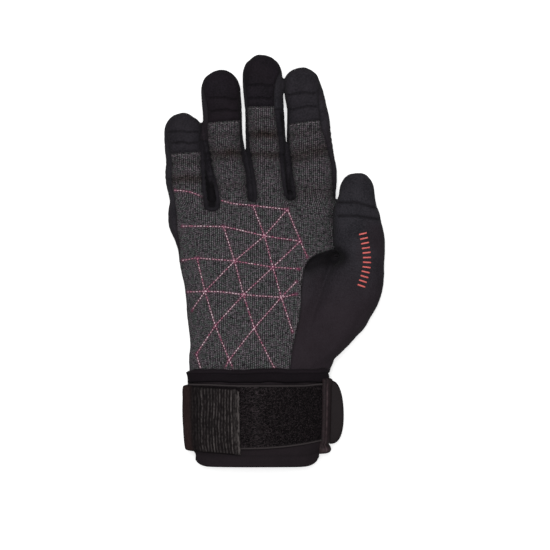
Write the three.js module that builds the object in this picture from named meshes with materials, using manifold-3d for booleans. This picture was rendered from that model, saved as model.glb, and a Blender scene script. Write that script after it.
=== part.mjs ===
import * as THREE from 'three';
import { mergeVertices } from 'three/addons/utils/BufferGeometryUtils.js';
import Module from 'manifold-3d';

// Water-sports glove for the right hand, lying on its back with the palm up.
// Millimetres. +Y runs along the fingers, +X towards the thumb, +Z out of the palm.
// The glove is drawn with y = 0 at the finger crotches and x = 0 at the palm's middle,
// and is moved at the end so that the origin is under the middle of its box.

// Driving sizes
const wall = 2.2; // neoprene and knit laminate
const seamGap = 0.3; // between two pieces that are sewn edge to edge
const palmLength = 97.5; // finger crotches to wrist seam
const palmThickness = 26;
const palmHollow = 2.2; // dent in the middle of the palm
const fingerGap = 0.5; // least air between two fingers
const seamHeight = 12.6; // side seam of the palm panel above the table
const fourchetteHeight = 9; // lower seam of the strips between the fingers
const tuckDepth = 0.7; // sewn tucks across the fingertips
const tuckWidth = 2.4;
const thumbWidth = 23;
const thumbThickness = 20;
const thumbLength = 49; // thumb crotch to thumb tip
const thumbCrotch = 33.6; // finger crotches down to the thumb crotch
const thumbGap = 0.6; // air between the thumb and the side of the palm
const littleLength = 50.2; // finger crotches to fingertip
const littleWidth = 24.4; // at the crotches
const littleThickness = 19;
const ringLength = 74.1;
const ringWidth = 22.8;
const ringThickness = 19.6;
const middleLength = 82.7;
const middleWidth = 22.6;
const middleThickness = 20;
const indexLength = 75.2;
const indexWidth = 26.4;
const indexThickness = 20;
const cuffLength = 54.4;
const cuffThickness = 22.4;
const rimHeight = 3.6; // puffy rolled edge at the top of the cuff
const rimBulge = 1.3;
const elasticHeight = 38; // woven 1.5 inch elastic
const elasticThickness = 2.4;
const elasticDrop = 8.2; // wrist seam down to the strap's upper edge
const loopHeight = 35.4;
const loopThickness = 1.7;
const keeperWidth = 6;
const keeperHeight = 43;
const tabReach = 7.8; // rounded tongue past the keeper
const tabHeight = 37;
const tabThickness = 2.2;

// The four fingers. cap is the height of the knit's end, where the smooth fingertip
// starts, as a share of length, and tilt is that seam's slope in degrees.
const fingers = [
  { name: 'little', length: littleLength, width: littleWidth, thickness: littleThickness,
    cap: 0.54, tilt: 4 },
  { name: 'ring', length: ringLength, width: ringWidth, thickness: ringThickness,
    cap: 0.604, tilt: 5 },
  { name: 'middle', length: middleLength, width: middleWidth, thickness: middleThickness,
    cap: 0.644, tilt: 0 },
  { name: 'index', length: indexLength, width: indexWidth, thickness: indexThickness,
    cap: 0.597, tilt: 7 },
];

// Sections of the four fingers. along is a share of the middle finger's length above the
// crotches. lean shifts the middle finger, as a share of its width. The widths are shares
// of each finger's width and the gaps are multiples of fingerGap. lift is the centre's
// height and depth the half thickness, as shares of palmThickness and of thickness.
const fingerRows = [
  { along: -0.22, lean: 0.5, little: 0.72, ring: 0.8, middle: 0.8, index: 0.72,
    gapLR: 6, gapRM: 5, gapMI: 5, lift: 0.42, depth: 0.38 },
  { along: -0.06, lean: 0.5, little: 0.95, ring: 0.98, middle: 0.98, index: 0.95,
    gapLR: 2, gapRM: 1, gapMI: 2, lift: 0.41, depth: 0.5 },
  { along: 0, lean: 0.49, little: 1, ring: 1, middle: 1, index: 1,
    gapLR: 1, gapRM: 1, gapMI: 1, lift: 0.405, depth: 0.52 },
  { along: 0.14, lean: 0.46, little: 0.95, ring: 0.98, middle: 1, index: 0.99,
    gapLR: 1, gapRM: 1, gapMI: 1, lift: 0.4, depth: 0.52 },
  { along: 0.3, lean: 0.385, little: 0.9, ring: 0.97, middle: 1.03, index: 0.96,
    gapLR: 1, gapRM: 2.4, gapMI: 1.2, lift: 0.4, depth: 0.5 },
  { along: 0.45, lean: 0.355, little: 0.88, ring: 0.98, middle: 1.02, index: 0.94,
    gapLR: 1, gapRM: 3.4, gapMI: 3.2, lift: 0.42, depth: 0.49 },
  { along: 0.62, lean: 0.335, little: 0.88, ring: 1, middle: 1, index: 0.9,
    gapLR: 1, gapRM: 3.4, gapMI: 3.4, lift: 0.455, depth: 0.475 },
  { along: 0.8, lean: 0.3, little: 0.88, ring: 1, middle: 1.02, index: 0.83,
    gapLR: 1, gapRM: 3.2, gapMI: 1.2, lift: 0.5, depth: 0.46 },
  { along: 1, lean: 0.29, little: 0.88, ring: 1, middle: 1, index: 0.8,
    gapLR: 1, gapRM: 3.2, gapMI: 1, lift: 0.54, depth: 0.45 },
];

// Edges of the knit strip on each finger, as shares of the half width from its centre.
const stripEdges = {
  little: { rootLeft: -0.66, capLeft: -0.63, rootRight: 0.8, capRight: 0.86 },
  ring: { rootLeft: -0.62, capLeft: -0.64, rootRight: 0.8, capRight: 0.88 },
  middle: { rootLeft: -0.72, capLeft: -0.8, rootRight: 0.72, capRight: 0.6 },
  index: { rootLeft: -0.76, capLeft: -0.85, rootRight: 0.9, capRight: 0.64 },
};
const notchBottoms = { little: 0.068, ring: 0.006, middle: -0.004 }; // shares of palmLength
const notchHalf = 0.13; // half the notch's width, as a share of the finger's half width
const fourchetteReach = 0.45; // how far a strip may run under a finger, as such a share

// Tucks across each fingertip, as shares of the finger's length, and the thumb's as
// shares of its own length down from its tip.
const tucks = {
  little: [0.65, 0.76],
  ring: [0.687, 0.785],
  middle: [0.703, 0.79],
  index: [0.7, 0.805],
  thumb: [0.35, 0.512],
};

// Palm sections from the crotches to the wrist. left and right are shares of the half
// width, low and high of palmThickness.
const palmRows = [
  { along: 0, left: -0.955, right: 0.975, low: 0.12, high: 0.7 },
  { along: 0.03, left: -0.97, right: 0.99, low: 0.03, high: 0.79 },
  { along: 0.09, left: -0.965, right: 1, low: -0.03, high: 0.84 },
  { along: 0.18, left: -0.93, right: 1, low: -0.05, high: 0.89 },
  { along: 0.29, left: -0.855, right: 1, low: -0.05, high: 0.94 },
  { along: 0.41, left: -0.813, right: 0.985, low: -0.05, high: 0.98 },
  { along: 0.55, left: -0.765, right: 0.95, low: -0.05, high: 1 },
  { along: 0.7, left: -0.722, right: 0.93, low: -0.045, high: 1 },
  { along: 0.84, left: -0.715, right: 0.93, low: -0.01, high: 0.99 },
  { along: 0.93, left: -0.715, right: 0.925, low: 0.06, high: 0.975 },
  { along: 1, left: -0.708, right: 0.905, low: 0.09, high: 0.965 },
];

// Thumb from its tip to its crotch. along is a share of thumbLength above the crotch.
const thumbRows = [
  { along: 0.66, width: 0.87, depth: 0.46, lift: 0.66 },
  { along: 0.54, width: 0.94, depth: 0.475, lift: 0.64 },
  { along: 0.36, width: 1, depth: 0.49, lift: 0.62 },
  { along: 0.18, width: 1.12, depth: 0.52, lift: 0.6 },
  { along: 0.02, width: 1.13, depth: 0.56, lift: 0.58 },
];

// Ball of the thumb, from the thumb crotch to the wrist. across is a share of the palm's
// half width, along of palmLength, width of thumbWidth and depth of thumbThickness.
const thenarRows = [
  { across: 1.215, along: 0.47, width: 1.36, depth: 0.64, lift: 0.56 },
  { across: 1.05, along: 0.63, width: 1.38, depth: 0.66, lift: 0.54 },
  { across: 0.84, along: 0.79, width: 1.2, depth: 0.6, lift: 0.52 },
  { across: 0.64, along: 0.93, width: 0.94, depth: 0.5, lift: 0.51 },
];

// Dent in the middle of the palm: its centre and its half sizes, as shares of the half
// width and of palmLength.
const hollowSpot = { across: -0.08, along: 0.47, halfWidth: 0.5, halfLength: 0.34 };

// Seam between the knit palm and the smooth thumb panel, as shares of the half width and
// of palmLength, from the side of the palm to the wrist.
const thumbSeam = [
  { across: 1.02, along: 0.281 },
  { across: 0.883, along: 0.298 },
  { across: 0.772, along: 0.316 },
  { across: 0.661, along: 0.342 },
  { across: 0.614, along: 0.398 },
  { across: 0.579, along: 0.497 },
  { across: 0.579, along: 0.62 },
  { across: 0.55, along: 0.72 },
  { across: 0.478, along: 0.854 },
  { across: 0.439, along: 1.02 },
];

// Little-finger side of the knit palm: inside the outline at first, then round the edge.
const littleSeam = [
  { across: -1.3, along: 1.02 },
  { across: -1.3, along: 0.36 },
  { across: -0.83, along: 0.335 },
  { across: -0.86, along: 0.193 },
  { across: -0.883, along: 0.12 },
];

// Cuff sections from the wrist seam down. left and right are shares of the wrist's half
// width from its middle, along of cuffLength, and thick of cuffThickness.
const cuffRows = [
  { along: 0, left: -0.985, right: 1.0, thick: 0.97 },
  { along: 0.07, left: -0.99, right: 0.99, thick: 0.98 },
  { along: 0.12, left: -1.01, right: 0.935, thick: 1 },
  { along: 0.82, left: -1.03, right: 0.93, thick: 1 },
  { along: 0.9, left: -0.965, right: 0.9, thick: 0.97 },
  { along: 1, left: -0.915, right: 0.865, thick: 0.95 },
];

// Sides of the wrist, where the cuff starts, and the free end of the elastic on the palm
// side, as shares of the palm's half width from its middle.
const wristSides = { left: -0.708, right: 0.94, elasticEnd: -0.13 };

// Tongue: its middle above the strap's, in mm, and how its curve bulges at the upper and
// the lower end, as shares of half its height and of tabReach.
const tabRise = 1;
const tabCurve = { upper: 0.75, lower: 0.65, bulge: 1.15 };

const wasm = await Module();
wasm.setup();

const reach = 400; // half size of the blocks that cut half spaces
const fingerSides = 16;
const palmSides = 28;
const sectionPower = 2.4; // 2 is an ellipse, more is squarer
const cuffPower = 2.7;
const domeSteps = [0, 0.5, 0.8, 0.96]; // rings of a round tip, as shares of its length
const domeShare = 0.46; // length of a fingertip's dome, as a share of the finger's width
const thumbRootTurn = 0.35; // how much of the ball's turn the thumb's first ring keeps
const capMargin = 0.2; // how far a fingertip's cutter stands proud of the finger

// Value of a table's column at a place along it, straight between its rows.
function tableValue(rows, column, along) {
  const first = rows[0];
  const last = rows[rows.length - 1];
  if (along <= first.along) return first[column];
  if (along >= last.along) return last[column];
  const next = rows.findIndex((row) => row.along > along);
  const low = rows[next - 1];
  const high = rows[next];
  const share = (along - low.along) / (high.along - low.along);
  return THREE.MathUtils.lerp(low[column], high[column], share);
}

// One ring of a section: a superellipse in a plane that stands across the path.
// turn is the path's angle from +Y in plan.
function sectionRing(section, sides) {
  const { x, y, z, half, up, down, turn = 0, power = sectionPower } = section;
  const points = [];
  for (let side = 0; side < sides; side += 1) {
    const angle = (2 * Math.PI * side) / sides;
    const c = Math.cos(angle);
    const s = Math.sin(angle);
    const across = half * Math.sign(c) * Math.abs(c) ** (2 / power);
    const height = (s > 0 ? up : down) * Math.sign(s) * Math.abs(s) ** (2 / power);
    points.push(new THREE.Vector3(
      x + across * Math.cos(turn),
      y + across * Math.sin(turn),
      z + height,
    ));
  }
  return points;
}

// Closed skin over a run of rings, with a fan at each end.
function loftGeometry(rings) {
  const sides = rings[0].length;
  const positions = [];
  const middle = (ring) => {
    const sum = new THREE.Vector3();
    ring.forEach((point) => sum.add(point));
    return sum.divideScalar(ring.length);
  };
  rings.flat().forEach((point) => positions.push(...point.toArray()));
  positions.push(...middle(rings[0]).toArray());
  positions.push(...middle(rings[rings.length - 1]).toArray());
  const startPole = rings.length * sides;
  const endPole = startPole + 1;
  const index = [];
  for (let row = 0; row + 1 < rings.length; row += 1) {
    for (let side = 0; side < sides; side += 1) {
      const next = (side + 1) % sides;
      const a = row * sides + side;
      const b = row * sides + next;
      const c = a + sides;
      const d = b + sides;
      index.push(a, b, d, a, d, c);
    }
  }
  const lastRow = (rings.length - 1) * sides;
  for (let side = 0; side < sides; side += 1) {
    const next = (side + 1) % sides;
    index.push(startPole, next, side);
    index.push(endPole, lastRow + side, lastRow + next);
  }
  const geometry = new THREE.BufferGeometry();
  geometry.setAttribute('position', new THREE.Float32BufferAttribute(positions, 3));
  geometry.setIndex(index);
  return geometry;
}

// Volume inside a closed indexed mesh; negative where its faces point in.
function signedVolume(geometry) {
  const place = geometry.getAttribute('position');
  const index = geometry.getIndex();
  const corners = [new THREE.Vector3(), new THREE.Vector3(), new THREE.Vector3()];
  let volume = 0;
  for (let start = 0; start < index.count; start += 3) {
    corners.forEach((corner, k) => corner.fromBufferAttribute(place, index.getX(start + k)));
    volume += corners[0].dot(corners[1].clone().cross(corners[2])) / 6;
  }
  return volume;
}

// Solid of a closed geometry, with its vertices merged and its faces turned out.
function solidOf(geometry) {
  const bare = geometry.clone();
  bare.deleteAttribute('normal');
  bare.deleteAttribute('uv');
  const merged = mergeVertices(bare, 1e-5);
  const triVerts = new Uint32Array(merged.getIndex().array);
  if (signedVolume(merged) < 0) triVerts.reverse();
  const vertProperties = new Float32Array(merged.getAttribute('position').array);
  return new wasm.Manifold(new wasm.Mesh({ numProp: 3, vertProperties, triVerts }));
}

function loft(sections, sides) {
  return solidOf(loftGeometry(sections.map((section) => sectionRing(section, sides))));
}

function geometryOf(solid) {
  const mesh = solid.getMesh();
  const geometry = new THREE.BufferGeometry();
  geometry.setAttribute('position', new THREE.Float32BufferAttribute(mesh.vertProperties, 3));
  geometry.setIndex(Array.from(mesh.triVerts));
  geometry.computeVertexNormals();
  return geometry;
}

// Block between two corners.
function block(low, high) {
  const size = new THREE.Vector3(...high).sub(new THREE.Vector3(...low));
  const geometry = new THREE.BoxGeometry(size.x, size.y, size.z);
  geometry.translate(low[0] + size.x / 2, low[1] + size.y / 2, low[2] + size.z / 2);
  return solidOf(geometry);
}

// Upright prism over a plan outline, from one height up to another.
function prism(outline, low, high) {
  const shape = new THREE.Shape(outline.map((point) => new THREE.Vector2(...point)));
  const geometry = new THREE.ExtrudeGeometry(shape, { depth: high - low, bevelEnabled: false });
  geometry.translate(0, 0, low);
  return solidOf(geometry);
}

// The same outline pushed outwards by a distance, for the gap beside a seam.
function grown(outline, distance) {
  const area = THREE.ShapeUtils.area(outline.map((point) => new THREE.Vector2(...point)));
  const side = Math.sign(area);
  return outline.map((point, k) => {
    const before = outline[(k + outline.length - 1) % outline.length];
    const after = outline[(k + 1) % outline.length];
    const inward = new THREE.Vector2(point[0] - before[0], point[1] - before[1]).normalize();
    const outward = new THREE.Vector2(after[0] - point[0], after[1] - point[1]).normalize();
    const normal = new THREE.Vector2(inward.y + outward.y, -inward.x - outward.x);
    const bend = Math.max(0.5, normal.lengthSq() / 2);
    normal.multiplyScalar((side * distance) / bend);
    return [point[0] + normal.x, point[1] + normal.y];
  });
}

const fingerIndex = Object.fromEntries(fingers.map((finger, k) => [finger.name, k]));

// Width and centre of each finger at a height above the crotches. The fingers are
// stacked outwards from the middle one, each a gap away from its neighbour.
function fingerPlace(name, y) {
  const at = (column) => tableValue(fingerRows, column, y / middleLength);
  const width = (key) => at(key) * fingers[fingerIndex[key]].width;
  const middle = at('lean') * fingers[fingerIndex.middle].width;
  const ring = middle - (width('middle') + width('ring')) / 2 - at('gapRM') * fingerGap;
  const little = ring - (width('ring') + width('little')) / 2 - at('gapLR') * fingerGap;
  const index = middle + (width('middle') + width('index')) / 2 + at('gapMI') * fingerGap;
  return { x: { little, ring, middle, index }[name], half: width(name) / 2 };
}

const knuckleLeft = fingerPlace('little', 0);
const knuckleRight = fingerPlace('index', 0);
const palmLeft = knuckleLeft.x - knuckleLeft.half;
const palmRight = knuckleRight.x + knuckleRight.half;
const palmMiddle = (palmLeft + palmRight) / 2;
const palmHalf = (palmRight - palmLeft) / 2;
const palmX = (share) => palmMiddle + share * palmHalf;
const palmY = (share) => -share * palmLength;

// Depth of a sewn tuck at a place, as a smooth notch.
function tuckAt(place, centres) {
  const nearest = Math.min(...centres.map((centre) => Math.abs(place - centre)));
  return nearest >= tuckWidth / 2 ? 0 : tuckDepth * (1 - (2 * nearest) / tuckWidth);
}

// Sections of a stall that ends in a dome. place(y) gives the section at a height,
// inset shrinks it for the inner face, and stations are the heights of its other rings.
function stallSections(stations, tip, place, inset, dome) {
  const sections = stations.map((y) => {
    const at = place(y);
    return { ...at, y, half: at.half - inset, up: at.up - inset, down: at.down - inset };
  });
  const foot = place(tip - dome);
  for (const share of domeSteps) {
    const scale = Math.sqrt(1 - share ** 2);
    const at = place(tip - dome + share * dome);
    sections.push({
      ...at,
      y: tip - dome + share * (dome - inset),
      half: (foot.half - inset) * scale,
      up: (foot.up - inset) * scale,
      down: (foot.down - inset) * scale,
    });
  }
  return sections;
}

function fingerSection(finger, y) {
  const { x, half } = fingerPlace(finger.name, y);
  const at = (column) => tableValue(fingerRows, column, y / middleLength);
  const thick = at('depth') * finger.thickness;
  return { x, y, z: at('lift') * palmThickness, half, up: thick, down: thick };
}

// Finger as a tube from inside the palm to its domed tip. Only its outer face has tucks.
function fingerLoft(finger, inset) {
  const dome = domeShare * finger.width;
  const foot = finger.length - dome;
  const centres = inset === 0 ? tucks[finger.name].map((share) => share * finger.length) : [];
  const plain = fingerRows.map((row) => row.along * middleLength);
  const notches = centres.flatMap((y) => [y - tuckWidth / 2, y, y + tuckWidth / 2]);
  const clear = (y) => y < foot - 1 && centres.every((c) => Math.abs(y - c) > tuckWidth * 0.8);
  const stations = [...plain.filter(clear), ...notches.filter((y) => y < foot - 0.5)];
  stations.sort((a, b) => a - b);
  const place = (y) => {
    const section = fingerSection(finger, y);
    return { ...section, up: section.up - tuckAt(y, centres) };
  };
  const sides = inset > 0 ? fingerSides - 4 : fingerSides;
  return loft(stallSections(stations, finger.length, place, inset, dome), sides);
}

// Solid block that holds the palm half of one fingertip, for cutting its cap.
function capCutter(finger, gap) {
  const seam = finger.cap * finger.length;
  const { x } = fingerPlace(finger.name, seam);
  const body = fingerLoft(finger, -capMargin);
  const geometry = new THREE.BoxGeometry(2 * reach, reach, reach);
  geometry.translate(0, reach / 2 - gap, reach / 2);
  geometry.rotateZ(THREE.MathUtils.degToRad(finger.tilt));
  geometry.translate(x, seam, seamHeight - gap);
  return body.intersect(solidOf(geometry));
}

// Palm as one tube with a flat back. The hollow of the palm is pressed into its top.
function palmLoft(inset) {
  const sections = palmRows.map((row, k) => {
    const left = palmX(row.left) + inset;
    const right = palmX(row.right) - inset;
    const low = row.low * palmThickness + inset;
    const high = row.high * palmThickness - inset;
    const z = (low + high) / 2;
    const y = palmY(row.along) - (k === 0 ? inset : 0);
    return { x: (left + right) / 2, y, z, half: (right - left) / 2, up: high - z, down: z - low };
  });
  const wrist = sections[sections.length - 1];
  sections.push({ ...wrist, y: wrist.y - wall - inset });
  const rings = sections.map((section) => sectionRing(section, palmSides));
  const centre = new THREE.Vector2(palmX(hollowSpot.across), palmY(hollowSpot.along));
  rings.flat().forEach((point) => {
    const across = (point.x - centre.x) / (hollowSpot.halfWidth * palmHalf);
    const along = (point.y - centre.y) / (hollowSpot.halfLength * palmLength);
    const share = Math.exp(-(across ** 2) - along ** 2);
    if (point.z > palmThickness / 2) point.z -= palmHollow * share;
  });
  return solidOf(loftGeometry(rings));
}

// Thumb stall beside the palm, then the ball of the thumb down to the wrist.
function thumbLoft(inset) {
  const crotch = -thumbCrotch;
  const tip = crotch + thumbLength;
  const dome = 0.5 * thumbWidth;
  const rising = [...thumbRows].reverse();
  const place = (y) => {
    const along = (y - crotch) / thumbLength;
    const at = (column) => tableValue(rising, column, along);
    const half = (at('width') * thumbWidth) / 2;
    const thick = at('depth') * thumbThickness;
    const x = palmRight + thumbGap + half;
    return { x, y, z: at('lift') * palmThickness, half, up: thick, down: thick };
  };
  const centres = inset === 0 ? tucks.thumb.map((share) => tip - share * thumbLength) : [];
  const tucked = (y) => ({ ...place(y), up: place(y).up - tuckAt(y, centres) });
  const notches = centres.flatMap((y) => [y - tuckWidth / 2, y, y + tuckWidth / 2]);
  const plain = rising.map((row) => crotch + row.along * thumbLength);
  const clear = (y) => y < tip - dome - 1 && centres.every((c) => Math.abs(y - c) > tuckWidth);
  const stations = [...plain.filter(clear), ...notches.filter((y) => y < tip - dome - 0.5)];
  stations.sort((a, b) => a - b);
  const upper = stallSections(stations, tip, tucked, inset, dome);
  const lower = thenarRows.map((row) => ({
    x: palmX(row.across),
    y: palmY(row.along),
    z: row.lift * palmThickness,
    half: (row.width * thumbWidth) / 2 - inset,
    up: row.depth * thumbThickness - inset,
    down: row.depth * thumbThickness - inset,
  }));
  const path = [...lower].reverse().concat(upper[0]);
  path.slice(0, -1).forEach((section, k) => {
    const ahead = path[k + 1];
    const behind = path[Math.max(0, k - 1)];
    section.turn = Math.atan2(behind.x - ahead.x, ahead.y - behind.y);
  });
  upper[0].turn = path[path.length - 2].turn * thumbRootTurn;
  const sides = inset > 0 ? fingerSides : fingerSides + 2;
  return loft([...path.slice(0, -1), ...upper], sides);
}

const below = block([-reach, -reach, -reach], [reach, reach, 0]);
const belowInner = block([-reach, -reach, -reach], [reach, reach, wall]);
const pastWrist = block([-reach, -reach, -reach], [reach, palmY(1), reach]);

// Hand of the glove before it is cut into its panels: outer form less the hollow.
function handShell() {
  let outer = palmLoft(0).add(thumbLoft(0));
  let hollow = palmLoft(wall).add(thumbLoft(wall));
  fingers.forEach((finger) => {
    outer = outer.add(fingerLoft(finger, 0));
    hollow = hollow.add(fingerLoft(finger, wall));
  });
  return outer.subtract(below).subtract(pastWrist).subtract(hollow.subtract(belowInner));
}

// Edge of the knit strip on a finger, from its root up to the smooth cap.
function stripEdge(finger, side) {
  const edges = stripEdges[finger.name];
  const top = finger.cap * finger.length;
  const steps = 4;
  const points = [];
  for (let step = 0; step <= steps; step += 1) {
    const share = step / steps;
    const { x, half } = fingerPlace(finger.name, share * top);
    const edge = THREE.MathUtils.lerp(edges[`root${side}`], edges[`cap${side}`], share);
    const tilt = Math.tan(THREE.MathUtils.degToRad(finger.tilt)) * edge * half * share;
    points.push([x + edge * half, share * top + tilt]);
  }
  return points;
}

// Plan outline of the knit palm with its four finger strips, anticlockwise.
function palmOutline() {
  const points = thumbSeam.map((row) => [palmX(row.across), palmY(row.along)]).reverse();
  [...fingers].reverse().forEach((finger) => {
    points.push(...stripEdge(finger, 'Right'));
    points.push(...stripEdge(finger, 'Left').reverse());
    const before = fingers[fingerIndex[finger.name] - 1];
    if (!before) return;
    const { x, half } = fingerPlace(finger.name, 0);
    const bottom = palmY(notchBottoms[before.name]) - seamGap;
    points.push([x - half * (1 - notchHalf), bottom]);
    points.push([x - half * (1 + notchHalf), bottom]);
  });
  littleSeam.slice().reverse().forEach((row) => {
    points.push([palmX(row.across), palmY(row.along)]);
  });
  return points;
}

// Plan outline of the smooth thumb panel: everything on the thumb's side of the seam.
function thumbOutline() {
  const seam = thumbSeam.map((row) => [palmX(row.across), palmY(row.along)]);
  const side = palmRight + thumbGap;
  seam[0][0] = side;
  return [...seam, [palmX(thumbSeam[thumbSeam.length - 1].across), -reach], [reach, -reach],
    [reach, reach], [side, reach]];
}

// Plan block between two neighbouring fingers, from their notch up to their caps.
function fourchetteOutline(left, right) {
  const bottom = palmY(notchBottoms[left.name]);
  const place = (finger, y, share) => {
    const { x, half } = fingerPlace(finger.name, y);
    return [x + share * half, y];
  };
  const leftTop = left.cap * left.length - seamGap * 2;
  const rightTop = right.cap * right.length - seamGap * 2;
  const steps = [0, 0.25, 0.5, 0.75, 1];
  const leftSide = steps.map((share) => place(left, share * leftTop, fourchetteReach));
  const rightSide = steps.map((share) => place(right, share * rightTop, -fourchetteReach));
  leftSide[0][1] = bottom;
  rightSide[0][1] = bottom;
  const gapAt = (y) => {
    const { x, half } = fingerPlace(right.name, y);
    return x - half - fingerGap / 2;
  };
  const crossing = [[gapAt(rightTop), rightTop], [gapAt(leftTop), leftTop]];
  return [...rightSide, ...crossing, ...leftSide.reverse()];
}

// The biggest solid of a cut, without crumbs that a cut may leave at a corner.
function mainBody(solid) {
  const bodies = solid.decompose();
  return bodies.reduce((best, body) => (body.volume() > best.volume() ? body : best));
}

// Half widths and middle of the cuff at a share of its length, grown by an offset.
const wristLeft = palmX(wristSides.left);
const wristRight = palmX(wristSides.right);
const wristMiddle = (wristLeft + wristRight) / 2;
const wristHalf = (wristRight - wristLeft) / 2;
const strapLayer = elasticThickness + seamGap;

function cuffSection(share, offset) {
  const left = wristMiddle + tableValue(cuffRows, 'left', share) * wristHalf - offset;
  const right = wristMiddle + tableValue(cuffRows, 'right', share) * wristHalf + offset;
  const thick = tableValue(cuffRows, 'thick', share) * cuffThickness;
  const z = strapLayer + cuffThickness / 2;
  return {
    x: (left + right) / 2,
    y: palmY(1) - seamGap - share * cuffLength,
    z,
    half: (right - left) / 2,
    up: thick / 2 + offset,
    down: thick / 2 + offset,
    power: cuffPower,
  };
}

// Tube through those sections. past lets a cutter run straight on beyond both ends.
function cuffTube(shares, offset, past = 0) {
  const sections = shares.map((share) => cuffSection(share, offset));
  if (past > 0) {
    const first = sections[0];
    const last = sections[sections.length - 1];
    sections.unshift({ ...first, y: first.y + past });
    sections.push({ ...last, y: last.y - past });
  }
  return loft(sections, palmSides);
}

// Sleeve of the wrist, open at both ends, with a folded hem at its lower edge.
function cuffSolid() {
  const shares = cuffRows.map((row) => row.along);
  const rimShare = (rimHeight + seamGap) / cuffLength;
  const kept = [rimShare, ...shares.filter((share) => share > rimShare)];
  return cuffTube(kept, 0).subtract(cuffTube(shares, -wall, wall));
}

// Puffy rolled edge at the top of the cuff: a ring that swells in its middle.
function rimSolid() {
  const steps = [0, 0.15, 0.5, 0.85, 1];
  const sections = steps.map((step) => {
    const bulge = rimBulge * Math.sin(Math.PI * THREE.MathUtils.lerp(0.12, 0.88, step));
    return cuffSection((step * rimHeight) / cuffLength, bulge);
  });
  const inner = cuffTube([0, rimHeight / cuffLength], -wall, wall);
  return loft(sections, palmSides).subtract(inner);
}

// Ring round the cuff between two offsets, from one drop below the wrist seam to another.
function strapRing(near, far, top, bottom) {
  const from = top / cuffLength;
  const to = bottom / cuffLength;
  const inner = [from, ...cuffRows.map((row) => row.along).filter((s) => s > from && s < to), to];
  return cuffTube(inner, far).subtract(cuffTube(inner, near, wall));
}

const elasticEnd = palmX(wristSides.elasticEnd);
const keeperLeft = cuffSection(0.5, strapLayer).x + cuffSection(0.5, strapLayer).half - keeperWidth;
const strapMiddle = elasticDrop + elasticHeight / 2;
const cuffCentre = strapLayer + cuffThickness / 2;

// Woven elastic: round the back, over the little-finger side and onto the palm side.
function elasticSolid() {
  const ring = strapRing(seamGap, strapLayer, elasticDrop, elasticDrop + elasticHeight);
  const openFront = block([elasticEnd, -reach, cuffCentre], [reach, reach, reach]);
  const openSide = block([keeperLeft - seamGap, -reach, -reach], [reach, reach, reach]);
  return ring.subtract(openFront).subtract(openSide);
}

// Fuzzy loop panel on the palm side, between the elastic's end and the keeper.
function loopSolid() {
  const top = strapMiddle - loopHeight / 2;
  const ring = strapRing(seamGap, seamGap + loopThickness, top, top + loopHeight);
  const window = block(
    [elasticEnd + seamGap, -reach, cuffCentre],
    [keeperLeft - seamGap, reach, reach],
  );
  return ring.intersect(window);
}

// Keeper band over the thumb-side edge, which holds the strap's turned end.
function keeperSolid() {
  const top = Math.max(rimHeight + seamGap, strapMiddle - keeperHeight / 2);
  const ring = strapRing(seamGap, strapLayer, top, strapMiddle + keeperHeight / 2);
  return ring.intersect(block([keeperLeft, -reach, -reach], [reach, reach, reach]));
}

// Rounded tongue that stands out flat past the keeper.
function tabSolid() {
  const edges = [0.13, 0.2, 0.5].map((share) => cuffSection(share, strapLayer));
  const x = Math.max(...edges.map((edge) => edge.x + edge.half)) + seamGap;
  const y = palmY(1) - strapMiddle + tabRise;
  const half = tabHeight / 2;
  const shape = new THREE.Shape();
  shape.moveTo(x, y + half);
  shape.bezierCurveTo(
    x + tabReach, y + tabCurve.upper * half,
    x + tabCurve.bulge * tabReach, y - tabCurve.lower * half,
    x, y - half,
  );
  shape.closePath();
  const settings = { depth: tabThickness, bevelEnabled: false, curveSegments: 14 };
  const geometry = new THREE.ExtrudeGeometry(shape, settings);
  geometry.translate(0, 0, cuffCentre - tabThickness / 2);
  return solidOf(geometry);
}

const glove = new THREE.Group();

function addPiece(name, solid, look) {
  const mesh = new THREE.Mesh(geometryOf(solid), new THREE.MeshStandardMaterial(look));
  mesh.name = name;
  glove.add(mesh);
}

const looks = {
  neoprene: { color: 0x242227, roughness: 0.82, metalness: 0 },
  knit: { color: 0x464046, roughness: 0.95, metalness: 0 },
  fingertip: { color: 0x29252a, roughness: 0.8, metalness: 0 },
  fourchette: { color: 0x1a171b, roughness: 0.9, metalness: 0 },
  cuff: { color: 0x231e20, roughness: 0.85, metalness: 0 },
  rim: { color: 0x2f2a2e, roughness: 0.75, metalness: 0 },
  elastic: { color: 0x26221f, roughness: 0.8, metalness: 0 },
  loop: { color: 0x1c1819, roughness: 1, metalness: 0 },
  tab: { color: 0x272324, roughness: 0.7, metalness: 0 },
};

const shell = handShell();
const palmPlan = palmOutline();
const palmCutter = prism(grown(palmPlan, seamGap), seamHeight - seamGap, reach);
const thumbPlan = thumbOutline();
const thumbCutter = prism(grown(thumbPlan, seamGap), -reach, reach);
const capCutters = fingers.map((finger) => capCutter(finger, seamGap));

let back = shell.subtract(palmCutter).subtract(thumbCutter);
let palm = shell.intersect(prism(palmPlan, seamHeight, reach)).subtract(thumbCutter);
capCutters.forEach((cutter) => {
  back = back.subtract(cutter);
  palm = palm.subtract(cutter);
});

fingers.slice(0, -1).forEach((left, k) => {
  const right = fingers[k + 1];
  const plan = fourchetteOutline(left, right);
  const region = prism(plan, fourchetteHeight, reach);
  let strip = shell.intersect(region).subtract(palmCutter);
  strip = strip.subtract(capCutters[k]).subtract(capCutters[k + 1]);
  back = back.subtract(prism(grown(plan, seamGap), fourchetteHeight - seamGap, reach));
  addPiece(`fourchette_${left.name}_${right.name}`, mainBody(strip), looks.fourchette);
});

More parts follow.
